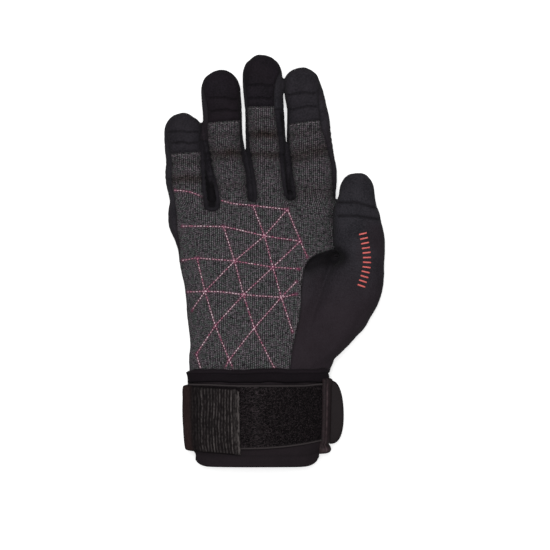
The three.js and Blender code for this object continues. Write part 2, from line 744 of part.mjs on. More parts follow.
addPiece('back_panel', mainBody(back), looks.neoprene);
addPiece('palm_panel', mainBody(palm), looks.knit);
addPiece('thumb_panel', mainBody(shell.intersect(prism(thumbPlan, -reach, reach))), looks.neoprene);
fingers.forEach((finger) => {
  const tip = shell.intersect(capCutter(finger, 0));
  addPiece(`fingertip_${finger.name}`, mainBody(tip), looks.fingertip);
});
addPiece('cuff', cuffSolid(), looks.cuff);
addPiece('cuff_rim', rimSolid(), looks.rim);
addPiece('strap_elastic', elasticSolid(), looks.elastic);
addPiece('strap_loop', mainBody(loopSolid()), looks.loop);
addPiece('strap_keeper', keeperSolid(), looks.elastic);
addPiece('strap_tab', tabSolid(), looks.tab);

// The origin goes under the middle of the whole glove's box.
const box = new THREE.Box3().setFromObject(glove);
const centre = box.getCenter(new THREE.Vector3());
glove.position.set(-centre.x, -centre.y, -box.min.z);

const group = new THREE.Group();
group.add(glove);

export default group;
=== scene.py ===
import math
import bpy
import numpy as np
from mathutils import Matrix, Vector


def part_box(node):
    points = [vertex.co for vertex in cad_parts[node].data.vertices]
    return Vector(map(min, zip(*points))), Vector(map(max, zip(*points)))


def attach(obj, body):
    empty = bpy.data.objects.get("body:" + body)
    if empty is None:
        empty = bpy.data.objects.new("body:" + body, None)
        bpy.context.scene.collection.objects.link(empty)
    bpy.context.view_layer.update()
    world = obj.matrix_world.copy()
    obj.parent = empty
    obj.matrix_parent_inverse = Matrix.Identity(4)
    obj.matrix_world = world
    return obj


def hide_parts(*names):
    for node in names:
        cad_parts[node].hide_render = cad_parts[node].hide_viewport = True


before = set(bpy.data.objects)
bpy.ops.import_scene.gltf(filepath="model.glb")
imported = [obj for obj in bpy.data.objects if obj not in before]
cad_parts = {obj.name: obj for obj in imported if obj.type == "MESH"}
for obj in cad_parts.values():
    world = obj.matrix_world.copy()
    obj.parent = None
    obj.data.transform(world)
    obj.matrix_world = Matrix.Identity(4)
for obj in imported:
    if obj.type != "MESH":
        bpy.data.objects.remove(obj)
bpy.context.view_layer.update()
mm = 0.001

# Glove frame in millimetres: y = 0 at the finger crotches, x = 0 at the palm's middle, z = 0 on the table.
hand = {
    "palmLength": 97.5,
    "palmThickness": 26.0,
    "palmHollow": 2.2,
    "seamHeight": 12.6,
    "sectionPower": 2.35,  # squareness of the palm's section: 2 is an ellipse, more is boxier
    "fingerPower": 2.25,
    "domeRings": 16,  # rings that close a round tip
    "domeTurn": 0.985 * np.pi / 2,  # how far they turn in
    "voxel": 0.74,  # grain of the fused skin
    "wall": 1.7,
    "floorSoftness": 1.0,  # how gently the back flattens on the table
    "spread": 2.6,  # how far the fingers stand apart while they are fused
    "smoothing": 14,  # rounds that even out the fused skin
    "crumb": 60,  # a cut-off part with fewer points than this is left out
    "rimOffset": 5.7,  # middle of the cuff's rim from the palm's middle
}
rimLow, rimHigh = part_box("cuff_rim")
wristLine = -hand["palmLength"] - 0.3
origin = np.array([
    (rimLow.x + rimHigh.x) / 2 / mm - hand["rimOffset"],
    rimHigh.y / mm - wristLine,
    0.0,
])


def note(text):
    print("glove:", text)


def toFrame(points):  # glove millimetres to the frame's metres
    return (np.asarray(points, float) + origin) * mm


def tableCurve(table, column, place):
    # Smooth curve through a table's rows: a cubic between two rows, with the mean slope at each row.
    x = np.asarray(table["along"], float)
    y = np.asarray(table[column], float)
    slope = np.gradient(y, x)
    p = np.clip(np.asarray(place, float), x[0], x[-1])
    k = np.clip(np.searchsorted(x, p, side="right") - 1, 0, len(x) - 2)
    h = x[k + 1] - x[k]
    t = (p - x[k]) / h
    start = (2 * t**3 - 3 * t**2 + 1) * y[k] + (t**3 - 2 * t**2 + t) * h * slope[k]
    return start + (3 * t**2 - 2 * t**3) * y[k + 1] + (t**3 - t**2) * h * slope[k + 1]


def tableCurves(table, place, *columns):
    return [tableCurve(table, column, place) for column in columns]


def smoothStep(low, high, value):  # 0 below low, 1 above high, an s-curve between
    t = np.clip((value - low) / (high - low), 0, 1)
    return t * t * (3 - 2 * t)


def bellCurve(distance, width):  # 1 at 0, falling away like a bell
    return np.exp(-((distance / width) ** 2))


def waveNoise(points, scale, seed, octaves=3):
    # Sum of sines along seeded directions, about -1 to 1, that repeats at no simple distance.
    rng = np.random.default_rng(seed)
    total = np.zeros(len(points))
    weight = 1.0
    norm = 0.0
    for _ in range(octaves):
        for _ in range(5):
            way = rng.normal(size=points.shape[1])
            way *= (2 * math.pi) / (scale * rng.uniform(0.75, 1.35) * np.linalg.norm(way))
            total += weight * np.sin(points @ way + rng.uniform(0, 2 * math.pi))
        norm += weight * math.sqrt(2.5)
        weight *= 0.55
        scale *= 0.52
    return total / norm


def gridFaces(rows, columns, closeRows=False, closeColumns=False):
    # Quads over a grid of points, as indices row by row.
    r = np.arange(rows if closeRows else rows - 1)
    c = np.arange(columns if closeColumns else columns - 1)
    r, c = np.meshgrid(r, c, indexing="ij")
    r2 = (r + 1) % rows
    c2 = (c + 1) % columns
    quads = np.stack([r * columns + c, r * columns + c2, r2 * columns + c2, r2 * columns + c], -1)
    return quads.reshape(-1, 4)


def meshFrom(name, points, faces, smooth=True):
    # Mesh object from arrays of points in glove millimetres and of triangles or quads.
    faces = np.asarray(faces)
    mesh = bpy.data.meshes.new(name)
    mesh.vertices.add(len(points))
    mesh.vertices.foreach_set("co", toFrame(points).astype(np.float32).ravel())
    sides = faces.shape[1]
    mesh.loops.add(faces.size)
    mesh.loops.foreach_set("vertex_index", faces.astype(np.int32).ravel())
    mesh.polygons.add(len(faces))
    mesh.polygons.foreach_set("loop_start", (np.arange(len(faces)) * sides).astype(np.int32))
    mesh.update(calc_edges=True)
    mesh.validate()
    if smooth:
        mesh.polygons.foreach_set("use_smooth", np.ones(len(mesh.polygons), bool))
    piece = bpy.data.objects.new(name, mesh)
    bpy.context.scene.collection.objects.link(piece)
    return piece


def addValues(piece, name, values):  # one number at each point, for the materials
    layer = piece.data.attributes.new(name, "FLOAT", "POINT")
    layer.data.foreach_set("value", np.asarray(values, np.float32))


def finishPiece(piece, slot, material, *nodes):
    # Points under the table are lifted onto it.
    spots = np.empty(len(piece.data.vertices) * 3, np.float32)
    piece.data.vertices.foreach_get("co", spots)
    spots[2::3] = np.maximum(spots[2::3], 0)
    piece.data.vertices.foreach_set("co", spots)
    piece.data.materials.clear()
    piece.data.materials.append(material)
    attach(piece, "root")
    if nodes:
        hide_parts(*nodes)
    return piece


# Materials

def newGroup(name, inputs, outputs):
    group = bpy.data.node_groups.new(name, "ShaderNodeTree")
    for label, kind, value in inputs:
        socket = group.interface.new_socket(label, in_out="INPUT", socket_type=kind)
        if value is not None:
            socket.default_value = value
    for label, kind in outputs:
        group.interface.new_socket(label, in_out="OUTPUT", socket_type=kind)
    return group


def linkNodes(tree, start, startSocket, end, endSocket):
    tree.links.new(start.outputs[startSocket], end.inputs[endSocket])


def mathNode(tree, operation, first, second=None, clamp=False):
    node = tree.nodes.new("ShaderNodeMath")
    node.operation = operation
    node.use_clamp = clamp
    for socket, value in zip(node.inputs, (first, second)):
        if value is None:
            continue
        if isinstance(value, (int, float)):
            socket.default_value = value
        else:
            tree.links.new(value, socket)
    return node.outputs[0]


def addScaled(tree, base, value, amount):  # base + value * amount
    return mathNode(tree, "ADD", base, mathNode(tree, "MULTIPLY", value, amount))


def mixColor(tree, factor, first, second):
    node = tree.nodes.new("ShaderNodeMix")
    node.data_type = "RGBA"
    for socket, value in ((node.inputs[0], factor), (node.inputs[6], first), (node.inputs[7], second)):
        if isinstance(value, bpy.types.NodeSocket):
            tree.links.new(value, socket)
        else:
            socket.default_value = value
    return node.outputs[2]


def noiseNode(tree, vector, scale, detail=2.0, roughness=0.5):
    node = tree.nodes.new("ShaderNodeTexNoise")
    node.inputs["Scale"].default_value = scale
    node.inputs["Detail"].default_value = detail
    node.inputs["Roughness"].default_value = roughness
    tree.links.new(vector, node.inputs["Vector"])
    return node.outputs["Fac"]


def rangeNode(tree, value, low, high, newLow=0.0, newHigh=1.0):
    node = tree.nodes.new("ShaderNodeMapRange")
    node.interpolation_type = "SMOOTHSTEP"
    tree.links.new(value, node.inputs["Value"])
    for label, number in (("From Min", low), ("From Max", high), ("To Min", newLow), ("To Max", newHigh)):
        node.inputs[label].default_value = number
    return node.outputs["Result"]


def stretchedCoords(tree, vector, x, y, z):  # coordinates scaled by three factors
    node = tree.nodes.new("ShaderNodeMapping")
    node.inputs["Scale"].default_value = (x, y, z)
    tree.links.new(vector, node.inputs["Vector"])
    return node.outputs["Vector"]


def splitVector(tree, vector):
    node = tree.nodes.new("ShaderNodeSeparateXYZ")
    tree.links.new(vector, node.inputs["Vector"])
    return node.outputs


def makeClothGrain():
    # Fine jersey grain: two crossed noises for the height, a broad one for the colour.
    group = newGroup(
        "clothGrain",
        [("Vector", "NodeSocketVector", None), ("Pitch", "NodeSocketFloat", 1400.0)],
        [("Height", "NodeSocketFloat"), ("Tone", "NodeSocketFloat")],
    )
    source = group.nodes.new("NodeGroupInput")
    sink = group.nodes.new("NodeGroupOutput")
    vector = source.outputs["Vector"]
    fine = group.nodes.new("ShaderNodeTexNoise")
    fine.inputs["Detail"].default_value = 1.0
    linkNodes(group, source, "Vector", fine, "Vector")
    linkNodes(group, source, "Pitch", fine, "Scale")
    warp = noiseNode(group, stretchedCoords(group, vector, 1.0, 0.35, 1.0), 2600.0, 0.0)
    broad = noiseNode(group, vector, 90.0, 3.0)
    height = addScaled(group, fine.outputs["Fac"], warp, 0.6)
    tone = addScaled(group, mathNode(group, "MULTIPLY", fine.outputs["Fac"], 0.55), broad, 0.45)
    group.links.new(height, sink.inputs["Height"])
    group.links.new(tone, sink.inputs["Tone"])
    return group


def makeKnitLoops():
    # Knit of upright wales: the legs of each loop slant to its middle, so the courses run as small
    # arrows, and every loop takes a shade of its own from the yarn.
    group = newGroup(
        "knitLoops",
        [("Vector", "NodeSocketVector", None), ("Wale", "NodeSocketFloat", 0.0012),
         ("Course", "NodeSocketFloat", 0.0011)],
        [("Height", "NodeSocketFloat"), ("Yarn", "NodeSocketFloat")],
    )
    source = group.nodes.new("NodeGroupInput")
    sink = group.nodes.new("NodeGroupOutput")
    vector = source.outputs["Vector"]
    split = splitVector(group, vector)
    sway = noiseNode(group, vector, 130.0, 1.0)
    slip = noiseNode(group, stretchedCoords(group, vector, 1.0, 1.7, 1.0), 260.0, 1.0)
    across = mathNode(group, "DIVIDE", split["X"], source.outputs["Wale"])
    across = addScaled(group, across, sway, 1.1)
    column = group.nodes.new("ShaderNodeTexWhiteNoise")
    column.noise_dimensions = "1D"
    group.links.new(mathNode(group, "FLOOR", across), column.inputs["W"])
    along = mathNode(group, "DIVIDE", split["Y"], source.outputs["Course"])
    along = addScaled(group, along, slip, 2.2)
    along = addScaled(group, along, column.outputs["Value"], 0.75)
    inWale = mathNode(group, "FRACT", across)
    fold = mathNode(group, "ABSOLUTE", addScaled(group, -1.0, inWale, 2.0))
    course = addScaled(group, along, fold, 0.42)
    wave = mathNode(group, "SINE", mathNode(group, "MULTIPLY", course, 2 * math.pi))
    loop = addScaled(group, 0.5, wave, 0.5)
    wale = addScaled(group, 1.0, mathNode(group, "POWER", fold, 2.2), -0.85)
    height = mathNode(group, "MULTIPLY", wale, addScaled(group, 0.4, loop, 0.6))
    cell = group.nodes.new("ShaderNodeCombineXYZ")
    group.links.new(mathNode(group, "FLOOR", across), cell.inputs["X"])
    group.links.new(mathNode(group, "FLOOR", course), cell.inputs["Y"])
    chance = group.nodes.new("ShaderNodeTexWhiteNoise")
    chance.noise_dimensions = "2D"
    linkNodes(group, cell, "Vector", chance, "Vector")
    patches = noiseNode(group, stretchedCoords(group, vector, 1.0, 0.6, 1.0), 760.0, 2.0, 0.6)
    shade = mathNode(group, "MULTIPLY", chance.outputs["Value"], 0.3)
    shade = addScaled(group, shade, rangeNode(group, patches, 0.24, 0.76), 0.7)
    yarn = mathNode(group, "MULTIPLY", height, addScaled(group, 0.35, shade, 0.8))
    group.links.new(height, sink.inputs["Height"])
    group.links.new(yarn, sink.inputs["Yarn"])
    return group


clothGrain = makeClothGrain()
knitLoops = makeKnitLoops()


def newMaterial(name, roughness, specular, sheen=0.0):
    material = bpy.data.materials.new(name)
    material.use_nodes = True
    tree = material.node_tree
    shader = tree.nodes["Principled BSDF"]
    shader.inputs["Roughness"].default_value = roughness
    shader.inputs["Specular IOR Level"].default_value = specular
    shader.inputs["Sheen Weight"].default_value = sheen
    shader.inputs["Sheen Roughness"].default_value = 0.5
    coords = tree.nodes.new("ShaderNodeTexCoord")
    return material, tree, shader, coords.outputs["Object"]


def bumpInto(tree, shader, height, distance):
    bump = tree.nodes.new("ShaderNodeBump")
    bump.inputs["Strength"].default_value = 1.0
    bump.inputs["Distance"].default_value = distance
    tree.links.new(height, bump.inputs["Height"])
    linkNodes(tree, bump, "Normal", shader, "Normal")


def attributeNode(tree, name):
    node = tree.nodes.new("ShaderNodeAttribute")
    node.attribute_name = name
    return node.outputs["Fac"]


def attributeShare(tree, name, amount):  # a part of an attribute, 1 at most
    return mathNode(tree, "MULTIPLY", attributeNode(tree, name), amount, clamp=True)


def grainNode(tree, vector, pitch):
    node = tree.nodes.new("ShaderNodeGroup")
    node.node_tree = clothGrain
    node.inputs["Pitch"].default_value = pitch
    tree.links.new(vector, node.inputs["Vector"])
    return node


def srgb(red, green, blue):  # screen colour, 0 to 255, as linear light
    screen = np.array([red, green, blue]) / 255
    light = np.where(screen <= 0.04045, screen / 12.92, ((screen + 0.055) / 1.055) ** 2.4)
    return (*[float(v) for v in light], 1.0)


def smoothClothMaterial(name, dark, light, pitch=1400.0, roughness=0.8, specular=0.1, warm=None):
    # Jersey-faced neoprene and suede: grain for tone and bump, a warmer black in clouds and low on the
    # hand, and painted shade that darkens creases where an attribute says.
    material, tree, shader, coords = newMaterial(name, roughness, specular, 0.02)
    grain = grainNode(tree, coords, pitch)
    tone = rangeNode(tree, grain.outputs["Tone"], 0.3, 0.7)
    color = mixColor(tree, tone, dark, light)
    cloud = rangeNode(tree, noiseNode(tree, coords, 34.0, 2.0), 0.42, 0.68, 0.0, 0.5)
    low = rangeNode(tree, splitVector(tree, coords)["Y"], -0.035, 0.015, 0.65, 0.0)
    cloud = mathNode(tree, "MAXIMUM", cloud, low)
    color = mixColor(tree, cloud, color, warm or [(a + b) / 2 for a, b in zip(dark, light)])
    # painted shade in the creases
    color = mixColor(tree, attributeShare(tree, "creaseShade", 0.85), color, srgb(7, 5, 7))
    tree.links.new(color, shader.inputs["Base Color"])
    bumpInto(tree, shader, grain.outputs["Height"], 0.00006)
    return material


def knitMaterial():
    # Heathered grey and black knit, darker up the fingers. Painted shade darkens folds, worn bends are
    # browned and darkened with painted fold shade, and thread tints the yarn by a seam.
    material, tree, shader, coords = newMaterial("palmKnit", 0.9, 0.06, 0.03)
    knit = tree.nodes.new("ShaderNodeGroup")
    knit.node_tree = knitLoops
    knit.inputs["Wale"].default_value = 0.00116
    knit.inputs["Course"].default_value = 0.00104
    up = splitVector(tree, coords)["Y"]
    unrolled = tree.nodes.new("ShaderNodeCombineXYZ")
    tree.links.new(attributeNode(tree, "across"), unrolled.inputs["X"])
    tree.links.new(up, unrolled.inputs["Y"])
    linkNodes(tree, unrolled, "Vector", knit, "Vector")
    ramp = rangeNode(tree, knit.outputs["Yarn"], 0.08, 0.9)
    upward = rangeNode(tree, up, (origin[1] - 45) * mm, (origin[1] + 42) * mm)
    hue = rangeNode(tree, noiseNode(tree, coords, 640.0, 1.0), 0.4, 0.6)
    pale = mixColor(tree, upward, mixColor(tree, hue, srgb(98, 103, 101), srgb(115, 106, 113)),
                    mixColor(tree, hue, srgb(92, 94, 94), srgb(106, 96, 103)))
    color = mixColor(tree, ramp, srgb(15, 13, 16), pale)
    # worn brown, also darker as painted fold shade, for the bends
    worn = mixColor(tree, ramp, srgb(12, 8, 7), srgb(60, 47, 41))
    color = mixColor(tree, attributeShare(tree, "bendWearShade", 0.78), color, worn)
    color = mixColor(tree, attributeShare(tree, "thread", 0.65), color, srgb(108, 46, 74))
    # painted shade in the creases
    color = mixColor(tree, attributeShare(tree, "creaseShade", 0.8), color, srgb(12, 9, 10))
    tree.links.new(color, shader.inputs["Base Color"])
    bumpInto(tree, shader, knit.outputs["Height"], 0.0002)
    return material


def elasticMaterial():
    # Black rubber-cored webbing: cords catch the light, the smooth stretch is a warm black.
    material, tree, shader, coords = newMaterial("elasticWebbing", 0.75, 0.05)
    grain = grainNode(tree, stretchedCoords(tree, coords, 1.0, 0.5, 1.0), 1500.0)
    tone = rangeNode(tree, grain.outputs["Tone"], 0.3, 0.7)
    color = mixColor(tree, tone, srgb(9, 7, 8), srgb(22, 18, 19))
    worn = noiseNode(tree, stretchedCoords(tree, coords, 1.0, 0.3, 1.0), 1100.0, 3.0, 0.7)
    worn = rangeNode(tree, worn, 0.4, 0.62, 0.08, 0.7)
    # the cords' lighter colour is a painted highlight, uneven where the noise says
    ridge = mathNode(tree, "MULTIPLY", attributeNode(tree, "ridge"), worn)
    color = mixColor(tree, ridge, color, srgb(104, 98, 97))
    warm = mixColor(tree, tone, srgb(36, 26, 25), srgb(54, 40, 39))
    color = mixColor(tree, attributeShare(tree, "warm", 0.85), color, warm)
    tree.links.new(color, shader.inputs["Base Color"])
    bumpInto(tree, shader, grain.outputs["Height"], 0.00012)
    return material


def loopBaseMaterial():
    # Dark ground of the pile with a lighter bound edge.
    material, tree, shader, coords = newMaterial("loopGround", 0.9, 0.04)
    fleck = noiseNode(tree, coords, 1900.0, 2.0)
    color = mixColor(tree, rangeNode(tree, fleck, 0.35, 0.65), srgb(6, 5, 6), srgb(24, 20, 22))
    color = mixColor(tree, attributeShare(tree, "edge", 0.85), color, srgb(66, 61, 62))
    tree.links.new(color, shader.inputs["Base Color"])
    bumpInto(tree, shader, fleck, 0.0002)
    return material


def pileMaterial():
    # Nylon loops, each its own shade of black.
    material, tree, shader, coords = newMaterial("nylonLoops", 0.65, 0.15)
    shade = attributeNode(tree, "shade")
    color = mixColor(tree, rangeNode(tree, shade, 0.35, 1.0), srgb(7, 5, 6), srgb(62, 54, 57))
    tone = noiseNode(tree, coords, 300.0, 2.0)
    color = mixColor(tree, rangeNode(tree, tone, 0.4, 0.7, 0.0, 0.4), color, srgb(28, 21, 23))
    tree.links.new(color, shader.inputs["Base Color"])
    bumpInto(tree, shader, noiseNode(tree, coords, 5000.0, 1.0), 0.00003)
    return material


def keeperMaterial():
    # Black binding tape with a maroon cast, lighter along its sewn line.
    material, tree, shader, coords = newMaterial("keeperTape", 0.7, 0.2)
    weave = noiseNode(tree, stretchedCoords(tree, coords, 0.5, 1.6, 1.0), 1500.0, 2.0)
    color = mixColor(tree, rangeNode(tree, weave, 0.3, 0.7), srgb(20, 14, 16), srgb(40, 28, 31))
    color = mixColor(tree, attributeNode(tree, "ridge"), color, srgb(76, 62, 65))
    tree.links.new(color, shader.inputs["Base Color"])
    bumpInto(tree, shader, weave, 0.0001)
    return material


def threadMaterial(name, deep, pale):
    # Sewing thread, some stitches paler and some deeper, with a fine twist.
    material, tree, shader, coords = newMaterial(name, 0.6, 0.2)
    shade = attributeNode(tree, "shade")
    color = mixColor(tree, shade, deep, pale)
    tone = noiseNode(tree, coords, 420.0, 2.0)
    color = mixColor(tree, rangeNode(tree, tone, 0.42, 0.72, 0.0, 0.55), color, deep)
    tree.links.new(color, shader.inputs["Base Color"])
    bumpInto(tree, shader, noiseNode(tree, coords, 6000.0, 1.0), 0.00004)
    return material


def inkMaterial():
    # Coral rubber print, thin and slightly worn through to the cloth.
    material, tree, shader, coords = newMaterial("coralInk", 0.5, 0.3)
    wear = rangeNode(tree, noiseNode(tree, coords, 1300.0, 3.0), 0.55, 0.75, 0.0, 0.55)
    tone = mixColor(tree, noiseNode(tree, coords, 500.0, 2.0), srgb(196, 84, 84), srgb(224, 116, 108))
    tree.links.new(mixColor(tree, wear, tone, srgb(70, 42, 46)), shader.inputs["Base Color"])
    bumpInto(tree, shader, noiseNode(tree, coords, 2600.0, 1.0), 0.00003)
    return material


# The fused skin: palm, fingers and thumb as tubes with superellipse sections

fingerSizes = {
    "little": {"length": 50.2, "width": 24.4, "thickness": 19.0, "cap": 27.1, "tilt": 4.0},
    "ring": {"length": 74.5, "width": 22.8, "thickness": 19.6, "cap": 44.8, "tilt": 5.0},
    "middle": {"length": 83.2, "width": 22.6, "thickness": 20.0, "cap": 53.3, "tilt": 0.0},
    "index": {"length": 75.9, "width": 26.4, "thickness": 20.0, "cap": 44.9, "tilt": 7.0},
}
fingerNames = list(fingerSizes)
fingerTable = {
    "along": [-18, -5, 0, 11.5, 25, 37, 51, 66, 82.7],
    "lean": [0.5, 0.5, 0.49, 0.46, 0.385, 0.355, 0.33, 0.285, 0.265],
    "little": [0.72, 0.95, 1.015, 1.065, 1.015, 0.92, 0.89, 0.88, 0.88],
    "ring": [0.8, 0.98, 1, 0.98, 0.97, 0.98, 1, 1, 1],
    "middle": [0.8, 0.98, 1, 1, 1.03, 1.02, 1, 1.02, 1],
    "index": [0.72, 0.95, 1, 1.035, 1.05, 0.965, 0.91, 0.83, 0.8],
    "gapLittle": [3, 1, -0.3, -0.3, -0.3, -0.2, 0.5, 0.5, 0.5],
    "gapRing": [3, 0.5, -0.3, -0.3, 0.1, 1.6, 1.6, 1.2, 0.9],
    "gapMiddle": [3, 1, -0.3, -0.3, -0.3, 0.5, 1.35, 0.1, 0.6],
    "lift": [10.9, 10.6, 10.5, 10.4, 10.4, 10.9, 11.8, 13, 14],
    "depth": [0.38, 0.5, 0.52, 0.52, 0.5, 0.49, 0.475, 0.46, 0.45],
}
palmTable = {
    "along": [0, 3, 9, 18, 28, 40, 54, 68, 82, 91, 97.5, 103],
    "left": [-0.99, -1.005, -1.003, -0.98, -0.905, -0.86, -0.806, -0.782, -0.757, -0.762, -0.76, -0.76],
    "right": [0.975, 0.99, 1, 1, 1, 0.985, 0.95, 0.935, 0.95, 0.975, 0.92, 0.91],
    "low": [0.12, 0.03, -0.03, -0.05, -0.05, -0.05, -0.05, -0.045, -0.01, 0.06, 0.1, 0.11],
    "high": [0.7, 0.79, 0.84, 0.89, 0.94, 0.98, 1, 1, 0.98, 0.955, 0.93, 0.92],
}
thumbTip = 15.4
thumbTable = {  # centre line of the thumb and its ball, from the wrist up to the foot of the round tip
    "along": [0, 1, 2, 3, 4, 5, 6, 7, 8],
    "x": [31, 41.3, 51.6, 59.2, 62.3, 61.5, 60.2, 59.5, 60.3],
    "y": [-91, -77.5, -62, -46.5, -33, -23.5, -13, -4, 3.6],
    "half": [10.5, 14.2, 16.7, 16.5, 13.7, 15.0, 13.7, 12.1, 10.4],
    "lift": [13.2, 13.5, 14, 14.6, 15.1, 15.6, 16.1, 16.6, 17.2],
    "depth": [9.5, 12, 13.2, 12.6, 11.2, 10.4, 9.8, 9.5, 9.2],
}


def fingerPlace(name, y):
    # Centre and half width of a finger: stacked outwards from the middle one, a gap between neighbours.
    width = {key: tableCurve(fingerTable, key, y) * fingerSizes[key]["width"] for key in fingerNames}
    centre = {"middle": tableCurve(fingerTable, "lean", y) * fingerSizes["middle"]["width"]}
    stack = [("ring", "middle", "gapRing", -1), ("little", "ring", "gapLittle", -1),
             ("index", "middle", "gapMiddle", 1)]
    for key, inner, gap, side in stack:
        step = (width[inner] + width[key]) / 2 + tableCurve(fingerTable, gap, y)
        centre[key] = centre[inner] + side * step
    return centre[name], width[name] / 2


def spreadFingers(points, way):
    # Slides the fingers either side of the middle one outwards, way 1, or back, way -1, so that the
    # narrow slits between them stay open in the fusing grid. Inside a slit the slide fades in evenly.
    x, y = points[..., 0], points[..., 1]
    moved = x.copy()
    slits = [
        ("ring", "middle", -1, smoothStep(27, 33, y)),
        ("middle", "index", 1, smoothStep(31, 37, y) * smoothStep(63, 58, y)),
    ]
    for left, right, side, amount in slits:
        centre, half = fingerPlace(left, y)
        low = centre + half
        centre, half = fingerPlace(right, y)
        width = np.maximum(centre - half - low, 0.05)
        extra = hand["spread"] * amount
        if way < 0:
            width = width + extra
            if side < 0:
                low = low - extra
        share = np.clip((x - low) / width, 0, 1)
        moved += way * extra * (share - (side < 0))
    return np.stack([moved, y, points[..., 2]], -1)


palmLeft = float(fingerPlace("little", 0.0)[0] - fingerPlace("little", 0.0)[1])
palmRight = float(fingerPlace("index", 0.0)[0] + fingerPlace("index", 0.0)[1])
palmMiddle = (palmLeft + palmRight) / 2
palmHalf = (palmRight - palmLeft) / 2


def superTube(x, y, z, half, up, down, turn, power, sides):
    # A superellipse section at each place of a path: across by a power of the cosine, up by one of the sine.
    angle = np.linspace(0, 2 * np.pi, sides, endpoint=False)[None, :]
    c = np.cos(angle)
    s = np.sin(angle)
    across = np.sign(c) * np.abs(c) ** (2 / power)
    height = np.sign(s) * np.abs(s) ** (2 / power)
    column = [np.asarray(v, float)[:, None] for v in np.broadcast_arrays(x, y, z, half, up, down, turn)]
    x, y, z, half, up, down, turn = column
    px = x + half * across * np.cos(turn)
    py = y + half * across * np.sin(turn)
    pz = z + np.where(s > 0, up, down) * height
    return np.stack(np.broadcast_arrays(px, py, pz), -1)


def closedTube(grid):
    # Points and quads of a tube whose two ends are closed by fans to a middle point.
    rows, sides, _ = grid.shape
    points = np.concatenate([grid.reshape(-1, 3), grid[:1].mean(1), grid[-1:].mean(1)])
    quads = gridFaces(rows, sides, closeColumns=True)
    ring = np.arange(sides)
    after = (ring + 1) % sides
    start = rows * sides
    first = np.stack([np.full(sides, start), after, ring, ring], -1)
    base = (rows - 1) * sides
    last = np.stack([np.full(sides, start + 1), base + ring, base + after, base + after], -1)
    return points, np.concatenate([quads, first, last])


def splitTriangles(quads):  # a quad with a doubled corner gives one triangle
    triangles = np.concatenate([quads[:, [0, 1, 2]], quads[:, [0, 2, 3]]])
    a, b, c = triangles.T
    return triangles[(a != b) & (b != c) & (a != c)]


def domedFinger(name):
    # Rings along the finger, then rings on a quarter circle that close its round tip.
    size = fingerSizes[name]
    dome = 0.5 * size["width"] * float(tableCurve(fingerTable, name, size["length"] - 10))
    foot = size["length"] - dome
    y = np.arange(-17.0, foot, 1.5)
    angle = np.linspace(0, hand["domeTurn"], hand["domeRings"])
    yAll = np.concatenate([y, foot + dome * np.sin(angle)])
    scale = np.concatenate([np.ones(len(y)), np.cos(angle)])
    centre, _ = fingerPlace(name, yAll)
    _, halfFoot = fingerPlace(name, np.minimum(yAll, foot))
    depth = tableCurve(fingerTable, "depth", np.minimum(yAll, foot)) * size["thickness"]
    lift = tableCurve(fingerTable, "lift", yAll)
    return superTube(centre, yAll, lift, halfFoot * scale, depth * scale, depth * scale, 0.0,
                     hand["fingerPower"], 40)


def thumbGrid():
    # Sections square to the thumb's centre line, then rings that close its round tip.
    rows, rings, straight = 60, hand["domeRings"], 12
    place = np.linspace(0, 8, rows)
    x, y, half, lift, depth = tableCurves(thumbTable, place, "x", "y", "half", "lift", "depth")
    turn = np.arctan2(-np.gradient(x), np.gradient(y))
    turn[-straight:] *= np.linspace(1, 0, straight)
    angle = np.linspace(0.08, hand["domeTurn"], rings)
    x, half, lift, depth = [np.append(v, np.full(rings, v[-1])) for v in (x, half, lift, depth)]
    y = np.append(y, y[-1] + (thumbTip - y[-1]) * np.sin(angle))
    turn = np.append(turn, np.zeros(rings))
    scale = np.append(np.ones(rows), np.cos(angle) ** 0.95)
    return superTube(x, y, lift, half * scale, depth * scale, depth * scale, turn,
                     hand["fingerPower"], 48)


def palmGrid():
    # Sections down the palm to the wrist, each between its two sides and its two faces, and a broad
    # bell taken off the upper face where the palm is hollow.
    along = np.linspace(0, palmTable["along"][-1], 90)
    left, right, low, high = tableCurves(palmTable, along, "left", "right", "low", "high")
    left = palmMiddle + left * palmHalf
    right = palmMiddle + right * palmHalf
    low = low * hand["palmThickness"]
    high = high * hand["palmThickness"]
    z = (low + high) / 2
    grid = superTube((left + right) / 2, -along, z, (right - left) / 2, high - z, z - low, 0.0,
                     hand["sectionPower"], 96)
    hollow = bellCurve(grid[..., 0] + 4, 24) * bellCurve(grid[..., 1] + 46, 33)
    grid[..., 2] -= np.where(grid[..., 2] > 13, hand["palmHollow"] * hollow, 0)
    return grid


def fuseTubes(grids, voxel):
    # The tubes are dropped into one mesh and remeshed together, which leaves one skin round them all.
    points = []
    faces = []
    count = 0
    for grid in grids:
        somePoints, quads = closedTube(spreadFingers(grid, 1))
        points.append(somePoints)
        faces.append(splitTriangles(quads) + count)
        count += len(somePoints)
    rough = meshFrom("roughHand", np.concatenate(points), np.concatenate(faces))
    remesh = rough.modifiers.new("fuse", "REMESH")
    remesh.mode = "VOXEL"
    remesh.voxel_size = voxel * mm
    fused = rough.evaluated_get(bpy.context.evaluated_depsgraph_get()).to_mesh()
    co = np.empty(len(fused.vertices) * 3, np.float32)
    fused.vertices.foreach_get("co", co)
    corners = np.empty(len(fused.loops), np.int32)
    fused.loops.foreach_get("vertex_index", corners)
    quads = corners.reshape(-1, 4)
    rough.to_mesh_clear()
    mesh = rough.data
    bpy.data.objects.remove(rough)
    bpy.data.meshes.remove(mesh)
    return spreadFingers(co.reshape(-1, 3).astype(float) / mm - origin, -1), quads


def meshEdges(faces):  # each edge once, as a sorted pair
    edges = np.concatenate([faces[:, [k, (k + 1) % faces.shape[1]]] for k in range(faces.shape[1])])
    return np.unique(np.sort(edges, 1), axis=0)


